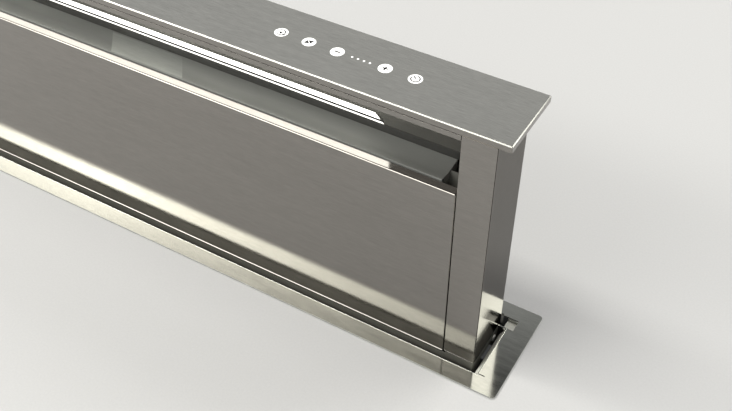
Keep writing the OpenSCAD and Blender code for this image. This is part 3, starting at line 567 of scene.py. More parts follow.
GRAIN = make_brushed_grain()
HANDLING = make_handling()
SPANGLE = make_spangle()
MOULDED = make_moulded()
TURNING = make_turning()
STRANDS = make_weave()
TRACKS = make_tracks()


# Finishes

# Small lamps behind the opal plastic: their pitch in metres, and how much darker it is between them
LAMP_PITCH = 0.0167
LAMP_DIP = 0.04


class Finish(Wiring):
    """A material with its shader, the piece's own coordinates and its slot in the record"""

    def __init__(self, name, slot=None, **sockets):
        self.material = bpy.data.materials.new(name)
        self.material.use_nodes = True
        super().__init__(self.material.node_tree)
        self.slot = slot
        self.shader = self.tree.nodes["Principled BSDF"]
        for key, value in sockets.items():
            self.set(key.replace("_", " "), value)
        self.place = self.put("TexCoord").outputs["Object"]

    def set(self, socket, value):
        self.feed(self.shader.inputs[socket], value)

    def bump(self, height, distance, strength):
        self.set("Normal", self.put("Bump", {"Height": height, "Distance": distance,
                                             "Strength": strength}).outputs[0])

    def marks(self, patches):
        return self.use(HANDLING, Place=self.place, Patches=patches)

    def along(self, axis):
        """Coordinates whose X runs along an axis"""
        if axis == "X":
            return self.place
        parts = self.split(self.place)
        first = "XYZ".index(axis)
        return self.join(*(parts[(first + i) % 3] for i in range(3)))


def grease_and_painted_shade(f, strength):
    """A thin film of grease in blotches, with painted shade that darkens it along the front edge and towards
    the left
    """
    grease_and_shade = f.stretched_noise(f.place, (5.0, 26.0, 26.0), 1.5, 0.4)
    spot = f.split(f.place)
    # Painted shade: darker along the front edge and towards the left
    front = f.between(spot[1], -0.022, 0.006, 0.14, -0.16)
    left = f.between(spot[0], -0.25, 0.3, 0.22, -0.14)
    return f.times(f.between(f.plus(f.plus(grease_and_shade, front), left), 0.44, 0.7), strength, clamp=True)


def brushed_steel(name, slot, colour, grain_axis="X", rough=(0.11, 0.15), strokes=1100.0, length=0.012,
                  contrast=0.1, spread=0.5, edge=1.0, metal=1.0, grease_and_shade=0.0):
    """Sheet that was ground with a belt along one axis and then wiped"""
    f = Finish(name, slot, Metallic=metal, Anisotropic=spread, Specular_Tint=grey(edge))
    grain = f.use(GRAIN, Place=f.along(grain_axis), Strokes=strokes, Length=length)
    marks = f.marks(6.0)
    base = f.mix(grain["Stroke"], shade(colour, 1 - contrast), shade(colour, 1 + contrast))
    # With a film, grease blotches and painted shade darken the sheet; without one, only wipe marks do
    dull, dark = (grease_and_painted_shade(f, grease_and_shade), 0.55) if grease_and_shade else (f.times(marks["Cloud"], 0.1), 0.72)
    f.set("Base Color", f.mix(dull, base, shade(colour, dark)))
    level = f.between(grain["Pressure"], 0.0, 1.0, *rough)
    f.set("Roughness", f.plus(level, f.times(marks["Streak"], 0.012), clamp=True))
    f.bump(grain["Stroke"], 0.000003, 0.5)
    f.set("Tangent", f.put("Tangent", direction_type="RADIAL", axis=grain_axis).outputs[0])
    return f


def galvanised(name, colour, crystals=85.0):
    f = Finish(name, "galvanised", Metallic=0.85)
    zinc = f.use(SPANGLE, Place=f.place, Crystals=crystals)
    tone = f.mix(zinc["Tone"], shade(colour, 0.82), shade(colour, 1.16))
    lined = f.mix(f.times(zinc["Seam"], 0.25), tone, shade(colour, 0.7))
    f.set("Base Color", f.mix(f.times(f.marks(9.0)["Cloud"], 0.3), lined, shade(colour, 0.8)))
    f.set("Roughness", f.between(zinc["Tone"], 0.0, 1.0, 0.32, 0.5))
    f.bump(zinc["Tone"], 0.00004, 0.35)
    return f


def moulded(name, slot, colour, rough=(0.45, 0.62)):
    f = Finish(name, slot)
    skin = f.use(MOULDED, Place=f.place, Grains=1100.0)
    marks = f.marks(8.0)
    tone = f.mix(skin["Tone"], shade(colour, 0.9), shade(colour, 1.1))
    f.set("Base Color", f.mix(f.times(marks["Cloud"], 0.14), tone, shade(colour, 1.5)))
    f.set("Roughness", f.between(marks["Streak"], 0.0, 1.0, *rough))
    f.bump(skin["Height"], 0.00008, 0.5)
    return f


def turned_metal(name, slot, colour, metallic=1.0, rough=(0.22, 0.38), bands=1500.0, axis="Z"):
    """Metal from a lathe or a drawing die, whose marks go round an axis"""
    f = Finish(name, slot, Metallic=metallic)
    lathe = f.use(TURNING, Place=f.place if axis == "Z" else f.along("Y"), Bands=bands)
    tone = f.mix(lathe["Groove"], shade(colour, 0.86), shade(colour, 1.14))
    f.set("Base Color", f.mix(f.times(lathe["Drift"], 0.25), tone, shade(colour, 0.7)))
    f.set("Roughness", f.between(f.marks(20.0)["Cloud"], 0.0, 1.0, *rough))
    f.bump(lathe["Groove"], 0.00003, 0.5)
    return f


def strand_mesh(name, colour):
    f = Finish(name, "filter_aluminium", Metallic=1.0)
    net = f.use(STRANDS, Place=f.place, Pitch=0.0046)
    # Between the strands the sheet is painted near black: painted shade of the openings
    tone = f.mix(net["Strand"], shade(colour, 0.1), colour)
    f.set("Base Color", f.mix(f.times(f.marks(12.0)["Cloud"], 0.2), tone, shade(colour, 0.6)))
    f.set("Roughness", f.between(net["Strand"], 0.0, 1.0, 0.75, 0.3))
    f.bump(net["Depth"], 0.0008, 0.8)
    return f


def circuit_board(name, slot, colour):
    f = Finish(name, slot, Coat_Weight=0.4, Coat_Roughness=0.15)
    copper = f.use(TRACKS, Place=f.place, Pitch=0.0035)
    masked = f.mix(f.times(copper["Track"], 0.6), colour, shade(colour, 1.9))
    f.set("Base Color", f.mix(copper["Pad"], masked, (0.62, 0.62, 0.6, 1)))
    f.set("Metallic", f.times(copper["Pad"], 0.9))
    f.set("Roughness", f.between(copper["Pad"], 0.0, 1.0, 0.42, 0.25))
    f.bump(copper["Track"], 0.00005, 0.6)
    return f


def rubber(name, colour, rib=0.0):
    """Matt rubber; rib is the pitch of moulded ribs along X, or nothing"""
    f = Finish(name, "black_rubber", Specular_IOR_Level=0.3)
    height = f.use(MOULDED, Place=f.place, Grains=700.0)["Height"]
    marks = f.marks(25.0)
    f.set("Base Color", f.mix(f.times(marks["Cloud"], 0.35), shade(colour, 0.85), shade(colour, 1.7)))
    f.set("Roughness", f.between(marks["Streak"], 0.0, 1.0, 0.62, 0.8))
    if rib:
        wave = f.zigzag(f.over(f.split(f.place)[0], rib))
        height = f.plus(f.times(wave, 6.0), height)
    f.bump(height, 0.0001, 0.6)
    return f


def lit_opal(name, slot, colour, strength):
    """Opal plastic lit from behind, a little brighter over each lamp"""
    f = Finish(name, slot, Emission_Strength=strength)
    lamp = f.zigzag(f.over(f.split(f.place)[0], LAMP_PITCH))
    skin = f.use(MOULDED, Place=f.place, Grains=500.0)
    f.set("Emission Color", f.mix(f.times(lamp, LAMP_DIP * 2), colour, shade(colour, 1 - LAMP_DIP)))
    f.set("Base Color", f.mix(skin["Tone"], shade(colour, 0.92), colour))
    f.set("Roughness", f.between(skin["Tone"], 0.0, 1.0, 0.25, 0.35))
    return f


STEEL = (0.276, 0.263, 0.246, 1)
LIT_OPAL = (1.0, 0.985, 0.93, 1)
SATIN = (0.42, 0.5)
steel_x = brushed_steel("stainless_brushed_along", "stainless", STEEL)
# The cap's top is painted lighter than its own folded side, which takes the darker body steel
steel_cap = brushed_steel("stainless_cap", "stainless", (0.43, 0.427, 0.396, 1), rough=(0.15, 0.2),
                          contrast=0.15)
steel_flange = brushed_steel("stainless_flange", "stainless", (0.592, 0.602, 0.556, 1), rough=(0.09, 0.13))
steel_post = brushed_steel("stainless_post", "stainless", STEEL, strokes=1000.0, edge=0.52)
# The air guide carries grease blotches and painted shade along its front edge and towards its left
steel_scoop = brushed_steel("stainless_scoop", "stainless", (0.425, 0.433, 0.404, 1), rough=SATIN,
                            contrast=0.03, spread=0.0, metal=0.4, grease_and_shade=0.6)
# Lighter steel for the plate that paints a reflection on the air guide
reflection_patch_steel = brushed_steel("painted_reflection_steel", "stainless", (0.49, 0.505, 0.47, 1), rough=SATIN,
                            spread=0.0, metal=0.4)
steel_ledge = brushed_steel("inner_steel_ledge", "stainless", (0.55, 0.55, 0.5, 1), rough=(0.4, 0.5),
                            strokes=500.0, contrast=0.16, spread=0.0)
steel_inner = brushed_steel("inner_steel_soffit", "inner_steel", (0.315, 0.298, 0.274, 1), rough=(0.16, 0.24))
steel_column = brushed_steel("inner_steel_upright", "inner_steel", (0.2, 0.197, 0.176, 1), grain_axis="Z",
                             rough=(0.5, 0.62), spread=0.0, metal=0.3)
drawn_rail = brushed_steel("rail_drawn_aluminium", "rail_aluminium", (0.1, 0.1, 0.1, 1), grain_axis="Z",
                           rough=(0.3, 0.4), strokes=1500.0, length=0.2)
filter_frame = brushed_steel("filter_frame_aluminium", "filter_aluminium", (0.6, 0.61, 0.61, 1),
                             rough=(0.3, 0.42))
filter_net = strand_mesh("filter_expanded_mesh", (0.66, 0.67, 0.67, 1))
zinc_sheet = galvanised("galvanised_sheet", (0.5, 0.52, 0.53, 1))
zinc_small = galvanised("galvanised_bracket", (0.55, 0.56, 0.57, 1), 160.0)
ground_screw = turned_metal("lift_screw_steel", "screw_steel", (0.45, 0.45, 0.44, 1), bands=2400.0)
shaft_steel = turned_metal("turned_shaft_steel", "screw_steel", (0.42, 0.42, 0.41, 1))
bright_zinc = turned_metal("bright_zinc_screws", "fastener_steel", (0.6, 0.6, 0.58, 1), rough=(0.18, 0.3),
                           axis="X")
motor_black = turned_metal("motor_black_lacquer", "motor_steel", (0.028, 0.028, 0.03, 1), metallic=0.3,
                           rough=(0.28, 0.42), bands=420.0)
brass = turned_metal("turned_brass", "nut_brass", (0.56, 0.43, 0.2, 1))
black_rubber = rubber("black_rubber", (0.022, 0.022, 0.022, 1))
wiper_brush = rubber("wiper_brush", (0.55, 0.55, 0.51, 1))
belt_rubber = rubber("toothed_belt_rubber", (0.03, 0.03, 0.03, 1), rib=0.003)
seal_silicone = moulded("pale_silicone", "black_rubber", (0.86, 0.87, 0.8, 1), rough=(0.5, 0.65))
black_plastic = moulded("black_moulding", "black_plastic", (0.03, 0.03, 0.032, 1))
# Near-black finish for the strip that paints the shade of the intake gap
gap_shade_finish = moulded("painted_gap_shade", "black_plastic", (0.05, 0.048, 0.044, 1))
ink = moulded("key_symbol_ink", "black_plastic", (0.012, 0.012, 0.012, 1))
grey_plastic = moulded("grey_moulding", "grey_plastic", (0.12, 0.128, 0.135, 1))
white_plastic = moulded("white_moulding", "white_plastic", (0.76, 0.76, 0.73, 1), rough=(0.3, 0.45))
board_green = circuit_board("solder_mask_green", "circuit_board", (0.02, 0.13, 0.06, 1))
board_white = circuit_board("solder_mask_white", "white_plastic", (0.7, 0.7, 0.66, 1))
strip_light = lit_opal("lit_strip", "light_diffuser", LIT_OPAL, 3.4)
# Glow that paints the highlight on the lower edge of the lit strip's tray
edge_highlight_glow = lit_opal("painted_edge_highlight", "light_diffuser", LIT_OPAL, 1.4)
key_light = lit_opal("lit_keys", "touch_light", (0.97, 0.97, 0.95, 1), 0.72)


# Cap and controls

def make_cap():
    """The ground top sheet, with a hole for each disc and dot, and the folded side under it. Top and side are
    one sheet: the top's lighter steel and the side's darker steel are painted light and shade
    """
    low, high = span("cap_plate")
    top, under = high.z, high.z - CAP_SKIN
    made = Build()
    holes = [ring(r + HOLE_PLAY, 32, (x, y))
             for node in ("touch_discs", "speed_dots") for x, y, r, _, _ in pins(node)]
    made.prism(drawn_in(low, high, CAP_RIM, CAP_CORNER), under, top, holes=holes)
    # The ground corner and the side below it, as rings of a rounded outline
    levels = [(CAP_RIM, top), (CAP_EDGE + EDGE_BREAK, top), (CAP_EDGE, top - EDGE_DIP),
              (EDGE_DIP, top - CAP_EDGE), (0.0, top - CAP_EDGE - EDGE_BREAK), (0.0, under), (CAP_RIM, under)]
    made.rings([(drawn_in(low, high, inset, CAP_CORNER * (2 - inset / CAP_RIM)), z) for inset, z in levels])
    made.piece("cap_ground_plate", steel_cap, "tower", ("cap_plate",))
    # The folded side is the same sheet as the top, in darker steel: painted shade
    skirt = Build()
    under -= 0.02
    levels = [(EDGE_DIP, under), (EDGE_DIP, low.z + 0.15), (0.15, low.z), (CAP_SKIN, low.z),
              (CAP_SKIN, under)]
    skirt.rings([(drawn_in(low, high, inset, 2 * CAP_CORNER - inset / 4), z) for inset, z in levels])
    skirt.piece("cap_side_skirt", steel_x, "tower")


def arc_band(radius, width, start, sweep):
    arc = math.radians(start), math.radians(sweep)
    return ring(radius, 28, (0, 0), *arc) + ring(radius - width, 28, (0, 0), *arc)[::-1]


def arrow(x, y, size, angle):
    return swung([(size, 0), (-size * 0.7, size), (-size * 0.7, -size)], angle, x, y)


def bar(length, width, angle, offset=0.0):
    """A bar whose middle lies an offset along it from the centre"""
    start, end, side = offset - length / 2, offset + length / 2, width / 2
    return swung([(start, -side), (end, -side), (end, side), (start, side)], angle)


SYMBOLS = [
    [arc_band(4.7, 1.1, 150, -285), arrow(-0.6, -0.2, 2.3, 160), arrow(4.1, -2.1, 1.5, -100)],
    [arrow(1.9, 1.5, 2.9, 45), arrow(-1.9, -1.5, 2.9, 225)],
    [bar(5.8, 1.8, 0)],
    [bar(5.8, 1.7, 0), bar(5.8, 1.7, 90)],
    [arc_band(4.9, 1.2, 165, 300), bar(4.4, 1.2, 130, 2.2)],
]


def make_keys():
    """Opal discs let into the cap, each with its printed sign, and the speed dots"""
    discs, signs, dots = Build(), Build(), Build()
    for symbol, (x, y, r, foot, top) in zip(SYMBOLS, pins("touch_discs")):
        at = Matrix.Translation((x, y, 0))
        discs.turned([(0, top), (r * 0.5, top), (r * 0.86, top - 0.01), (r - 0.12, top - 0.05),
                      (r, top - 0.18), (r, foot), (0, foot)], at, 40)
        for outline in symbol:
            signs.prism(outline, top - 0.03, top + 0.012, at)
    for x, y, r, foot, top in pins("speed_dots"):
        dots.turned([(0, top), (r - 0.15, top), (r, top - 0.15), (r, foot), (0, foot)],
                    Matrix.Translation((x, y, 0)), 24)
    discs.piece("touch_key_discs", key_light, "tower", ("touch_discs",))
    signs.piece("touch_key_signs", ink, "tower")
    dots.piece("speed_dot_lenses", key_light, "tower", ("speed_dots",))


# Cladding

def post_outline(low, high, outer_side):
    """Outline of an end post, whose outer corners are butt joints with a fine open seam"""
    seam = ((1.0, 0.0), (0.78, 0.06), (0.62, 0.22), (1.0, 1.0), (0.22, 0.62), (0.06, 0.78), (0.0, 1.0))
    plain = drawn_in(low, high, 0, 0.5, CORNER_STEPS)
    count = CORNER_STEPS + 1
    points = []
    for k, (way_x, way_y) in enumerate(((1, -1), (1, 1), (-1, 1), (-1, -1))):
        if way_x != outer_side:
            points += plain[count * k:count * (k + 1)]
            continue
        corner = (high.x if way_x > 0 else low.x, high.y if way_y > 0 else low.y)
        notch = [(corner[0] - way_x * a, corner[1] - way_y * b) for a, b in seam]
        points += notch if way_x * way_y < 0 else notch[::-1]
    return points


def make_posts():
    """Each end post is one sheet folded to a box, with a small hem at its foot"""
    for side, outer_side in (("left", -1), ("right", 1)):
        node = "end_post_" + side
        low, high = span(node)
        made = Build()
        made.tube(post_outline(low, high, outer_side), drawn_in(low, high, SKIN, 0.2, CORNER_STEPS),
                  low.z, high.z)
        made.piece("post_cladding_" + side, steel_post, "tower", (node,), ease=0.08)
        hem = Build()
        foot = half_round(FOOT_HEM, (low.y + 0.12, low.z + FOOT_HEM + 0.1), math.pi / 2, 12)
        hem.prism(foot, low.x + 0.8, high.x - 0.8, ALONG_X)
        hem.piece("post_foot_hem_" + side, steel_post, "tower")


def standing_sheet(node, name, corner, lowered=0.0):
    """A flat sheet as wide and thick as its node, and as high or a little lower"""
    low, high = span(node)
    made = Build()
    made.prism(rounded(low.x, high.x, low.z, high.z - lowered, corner), -high.y, -low.y, UPRIGHT)
    made.piece(name, steel_x, "tower", (node,), ease=0.3)


def make_panel():
    """The front panel: a tray with a hem that stands proud, a top rim that slopes, and two ears"""
    low, high = span("front_panel")
    levels = [(HEM_INSET + HEM_RAMP, HEM_PROUD), (HEM_INSET, 0.0), (HEM_INSET - 0.1, 0.0), (0.0, HEM_PROUD),
              (0.0, SEAM_FROM), (SEAM_DEEP, SEAM_FROM + 0.05), (SEAM_DEEP, SEAM_TO - 0.05), (0.0, SEAM_TO),
              (0.0, PANEL_RIM - 0.2), (0.2, PANEL_RIM), (SKIN, PANEL_RIM), (SKIN, SEAM_TO + 0.1)]
    rows = []
    for inset, back in levels:
        drop = RIM_DROP + RIM_FALL * (1 - back / PANEL_RIM)
        outline = rounded(low.x + inset, high.x - inset, low.z + inset, high.z - inset,
                          max(PANEL_CORNER - inset, 0.6), CORNER_STEPS)
        rows.append([(x, low.y + back, z - drop if z > high.z - PANEL_CORNER - 1 else z) for x, z in outline])
    made = Build()
    made.skin(rows, ends=True)
    hinge_y, hinge_z = low.y + SKIN + HINGE_BACK, low.z + HINGE_UP
    ear = rounded(low.y + SKIN, hinge_y + 4.5, low.z + SKIN, hinge_z + 5, 1.5)
    outer = high.x - SKIN - EAR_PLAY
    for x0, x1 in both_sides(outer - EAR_W, outer):
        made.prism(ear, x0, x1, ALONG_X, [ring(HINGE_HOLE_R, 20, (hinge_y, hinge_z))])
    made.piece("front_panel_tray", steel_x, "panel", ("front_panel",))


def make_stiffener():
    """Folded bars on the front panel's back, under its sloping rim"""
    made = Build()
    ceiling = span("front_panel")[1].z - RIM_DROP - RIM_FALL - SKIN - 0.3
    half = SKIN / 2
    for low, high in loose_parts("panel_stiffener"):
        top = min(high.z, ceiling)
        if top - low.z > high.x - low.x:
            channel = [(low.x + half, low.y), (low.x + half, high.y - half),
                       (high.x - half, high.y - half), (high.x - half, low.y)]
            made.prism(strip(channel, SKIN, 1.0), low.z, top)
        else:
            made.prism(rounded(low.y, high.y, low.z, top, 0.8, 3), low.x, high.x, ALONG_X)
    made.piece("panel_stiffener_bars", zinc_small, "panel", ("panel_stiffener",), ease=0.15)


# Intake

def soffit_point(down, into):
    """From the soffit's own plane to Y and Z"""
    front = span("led_soffit")[0].y
    top = span("valance")[0].z
    a = math.atan(SOFFIT_SLOPE)
    return (front + down * math.cos(a) + into * math.sin(a), top - down * math.sin(a) + into * math.cos(a))


def lay_on_soffit(name, finish, outline, stretches, replaces=()):
    """A strip on the soffit, over one or more stretches of X; its outline says how far down and into it"""
    made = Build()
    for x0, x1 in stretches:
        made.prism([soffit_point(down, into) for down, into in outline], x0, x1, ALONG_X)
    made.piece(name, finish, "tower", replaces)


def make_light():
    """The lit strip with its end caps, a narrow glowing strip that paints the highlight on its tray's edge,
    the dark gasket between them, and a dark strip on the soffit that paints the shade of the intake gap
    """
    lit = [(-LED_HALF, LED_HALF)]
    lay_on_soffit("light_strip_diffuser", strip_light, rounded(LED_FROM, LED_TO, -0.06, 2.0, 0.3, 3), lit,
                  ("led_diffuser",))
    lay_on_soffit("light_strip_end_caps", steel_inner, rounded(LED_FROM, LED_TO, -0.1, 2.0, 0.3, 3),
                  both_sides(LED_HALF + 0.05, LED_RECESS))
    # A narrow glowing strip: painted highlight on the tray's lower edge
    lay_on_soffit("light_strip_painted_highlight", edge_highlight_glow, rounded(LIP_FROM, LIP_TO, -0.14, -0.02, 0.05, 2), lit)
    lay_on_soffit("light_strip_gasket", black_rubber,
                  rounded(LED_TO + 0.1, LIP_FROM - 0.1, -0.08, -0.02, 0.02, 2), [(-LED_RECESS, LED_RECESS)])
    # Dark strip on the soffit's lower part: painted shade of the intake gap behind the air guide
    lay_on_soffit("soffit_painted_gap_shade", gap_shade_finish, rounded(TAIL_FROM, TAIL_TO, -0.34, -0.02, 0.12, 2),
                  [(-TAIL_HALF, TAIL_HALF)])


def make_scoop():
    """Sagging air-guide sheet between two end plates, with its lip, a lighter plate laid on it that paints a
    reflection, and its end sheets
    """
    low, high = span("intake_scoop")
    mid_y, half = (high.y + low.y) / 2, (high.y - low.y) / 2
    steps = [-1 + 2 * i / SCOOP_STEPS for i in range(SCOOP_STEPS + 1)]
    sag = [(mid_y + half * t, high.z - SCOOP_T / 2 - SCOOP_SAG * (1 - t * t)) for t in steps]
    made = Build()
    made.prism(strip(sag, SCOOP_T), -SCOOP_HALF, SCOOP_HALF, ALONG_X)
    end_plate = [(low.y + 4, low.z), (high.y, low.z), (high.y, high.z - 2.2), (mid_y, high.z - 2.8),
                 (low.y + 4, high.z - 2.2)]
    for x0, x1 in both_sides(SCOOP_HALF - SCOOP_T, SCOOP_HALF):
        made.prism(end_plate, x0, x1, ALONG_X)
    made.piece("air_guide_sheet", steel_scoop, "tower", ("intake_scoop",), ease=0.15)
    lip = Build()
    lip.prism(rounded(low.y + 0.4, low.y + 1.2, low.z + 1.5, high.z - 0.5, 0.2, 2),
              -SCOOP_HALF, SCOOP_HALF, ALONG_X)
    lip.piece("air_guide_front_lip", steel_scoop, "tower")
    # A lighter thin plate on the sheet paints a reflection; its ends slant so that they look upright from the
    # camera
    plate = Build()
    laid = [(y, z + SCOOP_T / 2 + 0.1) for y, z in sag[2:-2]]
    slanted = Matrix(((1, -PLATE_SLANT, 0, PLATE_SLANT * high.y), (0, 1, 0, 0), (0, 0, 1, 0), (0, 0, 0, 1)))
    plate.prism(strip(laid, PLATE_T), PLATE_FROM, PLATE_TO, slanted @ ALONG_X)
    plate.piece("air_guide_painted_reflection", reflection_patch_steel, "tower")
    # Bent sheets that close the air guide's two ends towards the posts
    ends = Build()
    bent = strip([(low.y + 1.8, low.z + 0.6), (-9.0, low.z + 0.6), (-3.5, low.z + 14.0)], SCOOP_T, 1.5)
    for x0, x1 in both_sides(SCOOP_HALF + 0.3, TAIL_HALF):
        ends.prism(bent, x0, x1, ALONG_X)
    ends.piece("air_guide_end_sheets", steel_column, "tower", ease=0.1)


# Worktop flange

def flange_opening():
    """The cut-out in the flange's plate, with a slit at each front corner and a notch at each rear one"""
    side = [
        (OPEN_HW, OPEN_FRONT - LIP_REACH), (OPEN_HW, OPEN_FRONT), (NOTCH_X, OPEN_FRONT),
        (NOTCH_X, OPEN_FRONT + SLIT), (OPEN_HW + LIP_REACH, OPEN_FRONT + SLIT),
        (OPEN_HW + LIP_REACH, NOTCH_FRONT), (NOTCH_X, NOTCH_FRONT), (NOTCH_X, OPEN_REAR),
        (TOWER_HW, OPEN_REAR), (TOWER_HW, OPEN_REAR + LIP_REACH),
    ]
    return side + [(-x, y) for x, y in reversed(side)]


def make_flange():
    """The flange's plate with its broken edge, and the lips folded down round its cut-out"""
    low, high = span("worktop_flange")
    top, bottom, shoulder = high.z, high.z - FLANGE_T, high.z - FLANGE_BREAK
    outer = drawn_in(low, high, 0, FLANGE_CORNER)
    crown = drawn_in(low, high, FLANGE_BREAK, FLANGE_CORNER - FLANGE_BREAK)
    made = Build()
    made.prism(crown, bottom, top, holes=[flange_opening()])
    made.tube(outer, crown, bottom, shoulder)
    n = len(outer)
    made.add([(x, y, shoulder) for x, y in outer] + [(x, y, top) for x, y in crown],
             walls(range(n), range(n, 2 * n)))
    middle = FLANGE_T / 2
    lip = strip([(LIP_REACH, -middle), (middle, -middle), (middle, LIP_BOT - top)], FLANGE_T, BEND - middle)
    made.prism([(OPEN_FRONT - d, top + z) for d, z in lip], -OPEN_HW, OPEN_HW, ALONG_X)
    made.prism([(OPEN_REAR + d, top + z) for d, z in lip], -TOWER_HW, TOWER_HW, ALONG_X)
    bead_x = OPEN_HW + BEAD_OFF
    made.prism(half_round(BEAD, (OPEN_FRONT - BEAD_OFF, top - BEAD * BEAD_SUNK)), -bead_x, bead_x, ALONG_X)
    for sign in (-1, 1):
        made.prism([(sign * (OPEN_HW + d), top + z) for d, z in lip],
                   -NOTCH_FRONT, -OPEN_FRONT - SLIT, UPRIGHT)
        made.prism(half_round(SIDE_BEAD, (sign * bead_x, top - SIDE_BEAD * BEAD_SUNK)),
                   -NOTCH_FRONT, -OPEN_FRONT, UPRIGHT)
    for x0, x1 in both_sides(TOWER_HW + 0.6, OPEN_HW + LIP_REACH):
        made.block((x0, NOTCH_FRONT - 0.35, bottom), (x1, NOTCH_FRONT + TAB, top - 0.05))
    made.piece("worktop_flange_sheet", steel_flange, "housing", ("worktop_flange",))


def make_felt():
    """Felt on the lips' inner faces, so that the tower can't rattle"""
    low_z, high_z = LIP_BOT + 0.3, span("worktop_flange")[1].z - BEND - 0.1
    felt = Build()
    felt.block((-OPEN_HW + 0.2, OPEN_FRONT, low_z), (OPEN_HW - 0.2, OPEN_FRONT + LINING, high_z))
    felt.block((-TOWER_HW, OPEN_REAR - LINING, low_z), (TOWER_HW, OPEN_REAR, high_z))
    for x0, x1 in both_sides(OPEN_HW - LINING, OPEN_HW):
        felt.block((x0, OPEN_FRONT + 0.2, low_z), (x1, NOTCH_FRONT - 0.2, high_z))
    felt.piece("slot_felt_lining", wiper_brush, "housing")


def make_soft_seals():
    """Soft lips that lean from the cut-out's front and sides towards the tower"""
    seal = Build()
    front = strip([(OPEN_FRONT + 0.5, SEAL_TOP), (SEAL_TIP, SEAL_TOP - SEAL_HANG)], SEAL_T)
    seal.prism(front, -OPEN_HW + 0.6, OPEN_HW - 0.6, ALONG_X)
    for sign in (-1, 1):
        side = strip([(sign * (OPEN_HW - 0.5), SEAL_TOP),
                      (sign * (TOWER_HW + 3.8), SEAL_TOP - SIDE_SEAL_HANG)], SEAL_T)
        seal.prism(side, -NOTCH_FRONT + 1, -OPEN_FRONT - 2, UPRIGHT)
    seal.piece("slot_soft_seals", seal_silicone, "housing", ease=0.1)


# Screws and what glints in the slot

def cross_head(made, place, radius, height):
    """Pan head with a cross recess, standing on its place's own XY plane"""
    arm, half, crown = radius * 0.55, radius * 0.14, radius * 0.72
    cross = [p for turn in (0, 90, 180, 270)
             for p in swung([(half, -arm), (half, -half), (arm, -half)], turn)]
    made.prism(ring(crown, 28), height * 0.3, height, place, [cross])
    made.turned([(crown, height), (radius * 0.88, height * 0.86), (radius * 0.97, height * 0.55),
                 (radius, height * 0.2), (radius, 0), (0, 0)], place, 28)
    made.turned([(0, height * 0.35), (crown, height * 0.35)], place, 28)


def head_place(low, high, inside):
    """Place, radius and height of a head that fills a box and stands away from a point inside the part"""
    mid, size = (low + high) / 2, high - low
    axis = min(range(3), key=lambda i: size[i])
    sign = -1 if inside[axis] > mid[axis] else 1
    turn = {0: Matrix.Rotation(math.radians(90 * sign), 4, "Y"),
            1: Matrix.Rotation(math.radians(-90 * sign), 4, "X"),
            2: Matrix.Rotation(math.radians(0 if sign > 0 else 180), 4, "X")}[axis]
    foot = Vector(mid)
    foot[axis] = low[axis] if sign > 0 else high[axis]
    return Matrix.Translation(foot) @ turn, max(size) / 2, size[axis]


def make_screw_heads():
    """Heads at the rear face away from one plane; the rear sheet's own six lie before it and face inwards"""
    made = Build()
    for low, high in loose_parts("housing_screws"):
        inside = Vector(((low.x + high.x) / 2, REAR_HEADS_FROM if low.y > 0 else 0, 0))
        cross_head(made, *head_place(low, high, inside))
    made.piece("housing_pan_heads", bright_zinc, "housing", ("housing_screws",))


def make_wiper_heads():
    made = Build()
    for (low, high), places in zip(loose_parts("wiper_seals"), (WIPER_HEADS_FRONT, WIPER_HEADS_REAR)):
        for x in places:
            cross_head(made, Matrix.Translation((x, (low.y + high.y) / 2, high.z - 0.02)), 2.4, 1.4)
    made.piece("wiper_pan_heads", bright_zinc, "housing")


def make_guide_buttons():
    """Low round buttons on the outer faces of the inner columns"""
    made = Build()
    profile = [(0, 1.4), (2.6, 1.3), (3.8, 0.9), (4.1, 0.2), (4.1, -0.3), (0, -0.3)]
    for face, way in ((span("inner_column_left")[0].x, -1), (span("inner_column_right")[1].x, 1)):
        turn = Matrix.Rotation(math.radians(90 * way), 4, "Y")
        made.turned(profile, Matrix.Translation((face, BUTTON_Y, BUTTON_Z)) @ turn, 28)
    made.piece("column_guide_buttons", white_plastic, "tower")


def make_ledge_upstands():
    """The rolled rear edges of the corner ledges, up to the flange"""
    made = Build()
    crest = span("worktop_flange")[1].z - FLANGE_T - 0.1
    for low, high in loose_parts("corner_ledges"):
        x0, x1 = sorted((math.copysign(NOTCH_X - 0.3, low.x), low.x if low.x > 0 else high.x))
        upright = [(OPEN_REAR - 1.5, high.z), (OPEN_REAR - 0.1, high.z), (OPEN_REAR - 0.1, crest),
                   (OPEN_REAR - 0.5, crest + 0.05), (OPEN_REAR - 1.1, crest - 0.6)]
        made.prism(upright, x0, x1, ALONG_X)
    made.piece("ledge_upstands", steel_flange, "housing")


def make_apron():
    """The tower's own front sheet goes on below the front panel, down to the lower cross rail"""
    column = span("inner_column_right")[0]
    rail_top = column.z + 26
    swing_clear = span("front_panel")[0].z - 2.6
    made = Build()
    made.prism([(column.y, rail_top), (column.y + 1, rail_top), (column.y + 1, swing_clear),
                (column.y, swing_clear)], -column.x + 0.2, column.x - 0.2, ALONG_X)
    made.piece("tower_apron_sheet", steel_column, "tower", ease=0.15)


# Lift

def thread(made, x, y, z0, z1):
    """A rolled trapezoid thread of several starts, which runs out at both ends"""
    around = 24
    steps = int((z1 - z0) / (THREAD_LEAD / THREAD_STARTS / 5))
    rows = []
    for k in range(steps + 1):
        z = z0 + (z1 - z0) * k / steps
        row = []
        for i in range(around):
            wave = abs((z / THREAD_LEAD + i / around) * THREAD_STARTS % 1.0 * 2 - 1)
            depth = THREAD_DEPTH * (1 if k in (0, steps) else min(max((wave - 0.3) / 0.4, 0), 1))
            a = 2 * math.pi * i / around
            row.append((x + (SCREW_R - depth) * math.cos(a), y + (SCREW_R - depth) * math.sin(a), z))
        rows.append(row)
    made.skin(rows, ends=True)


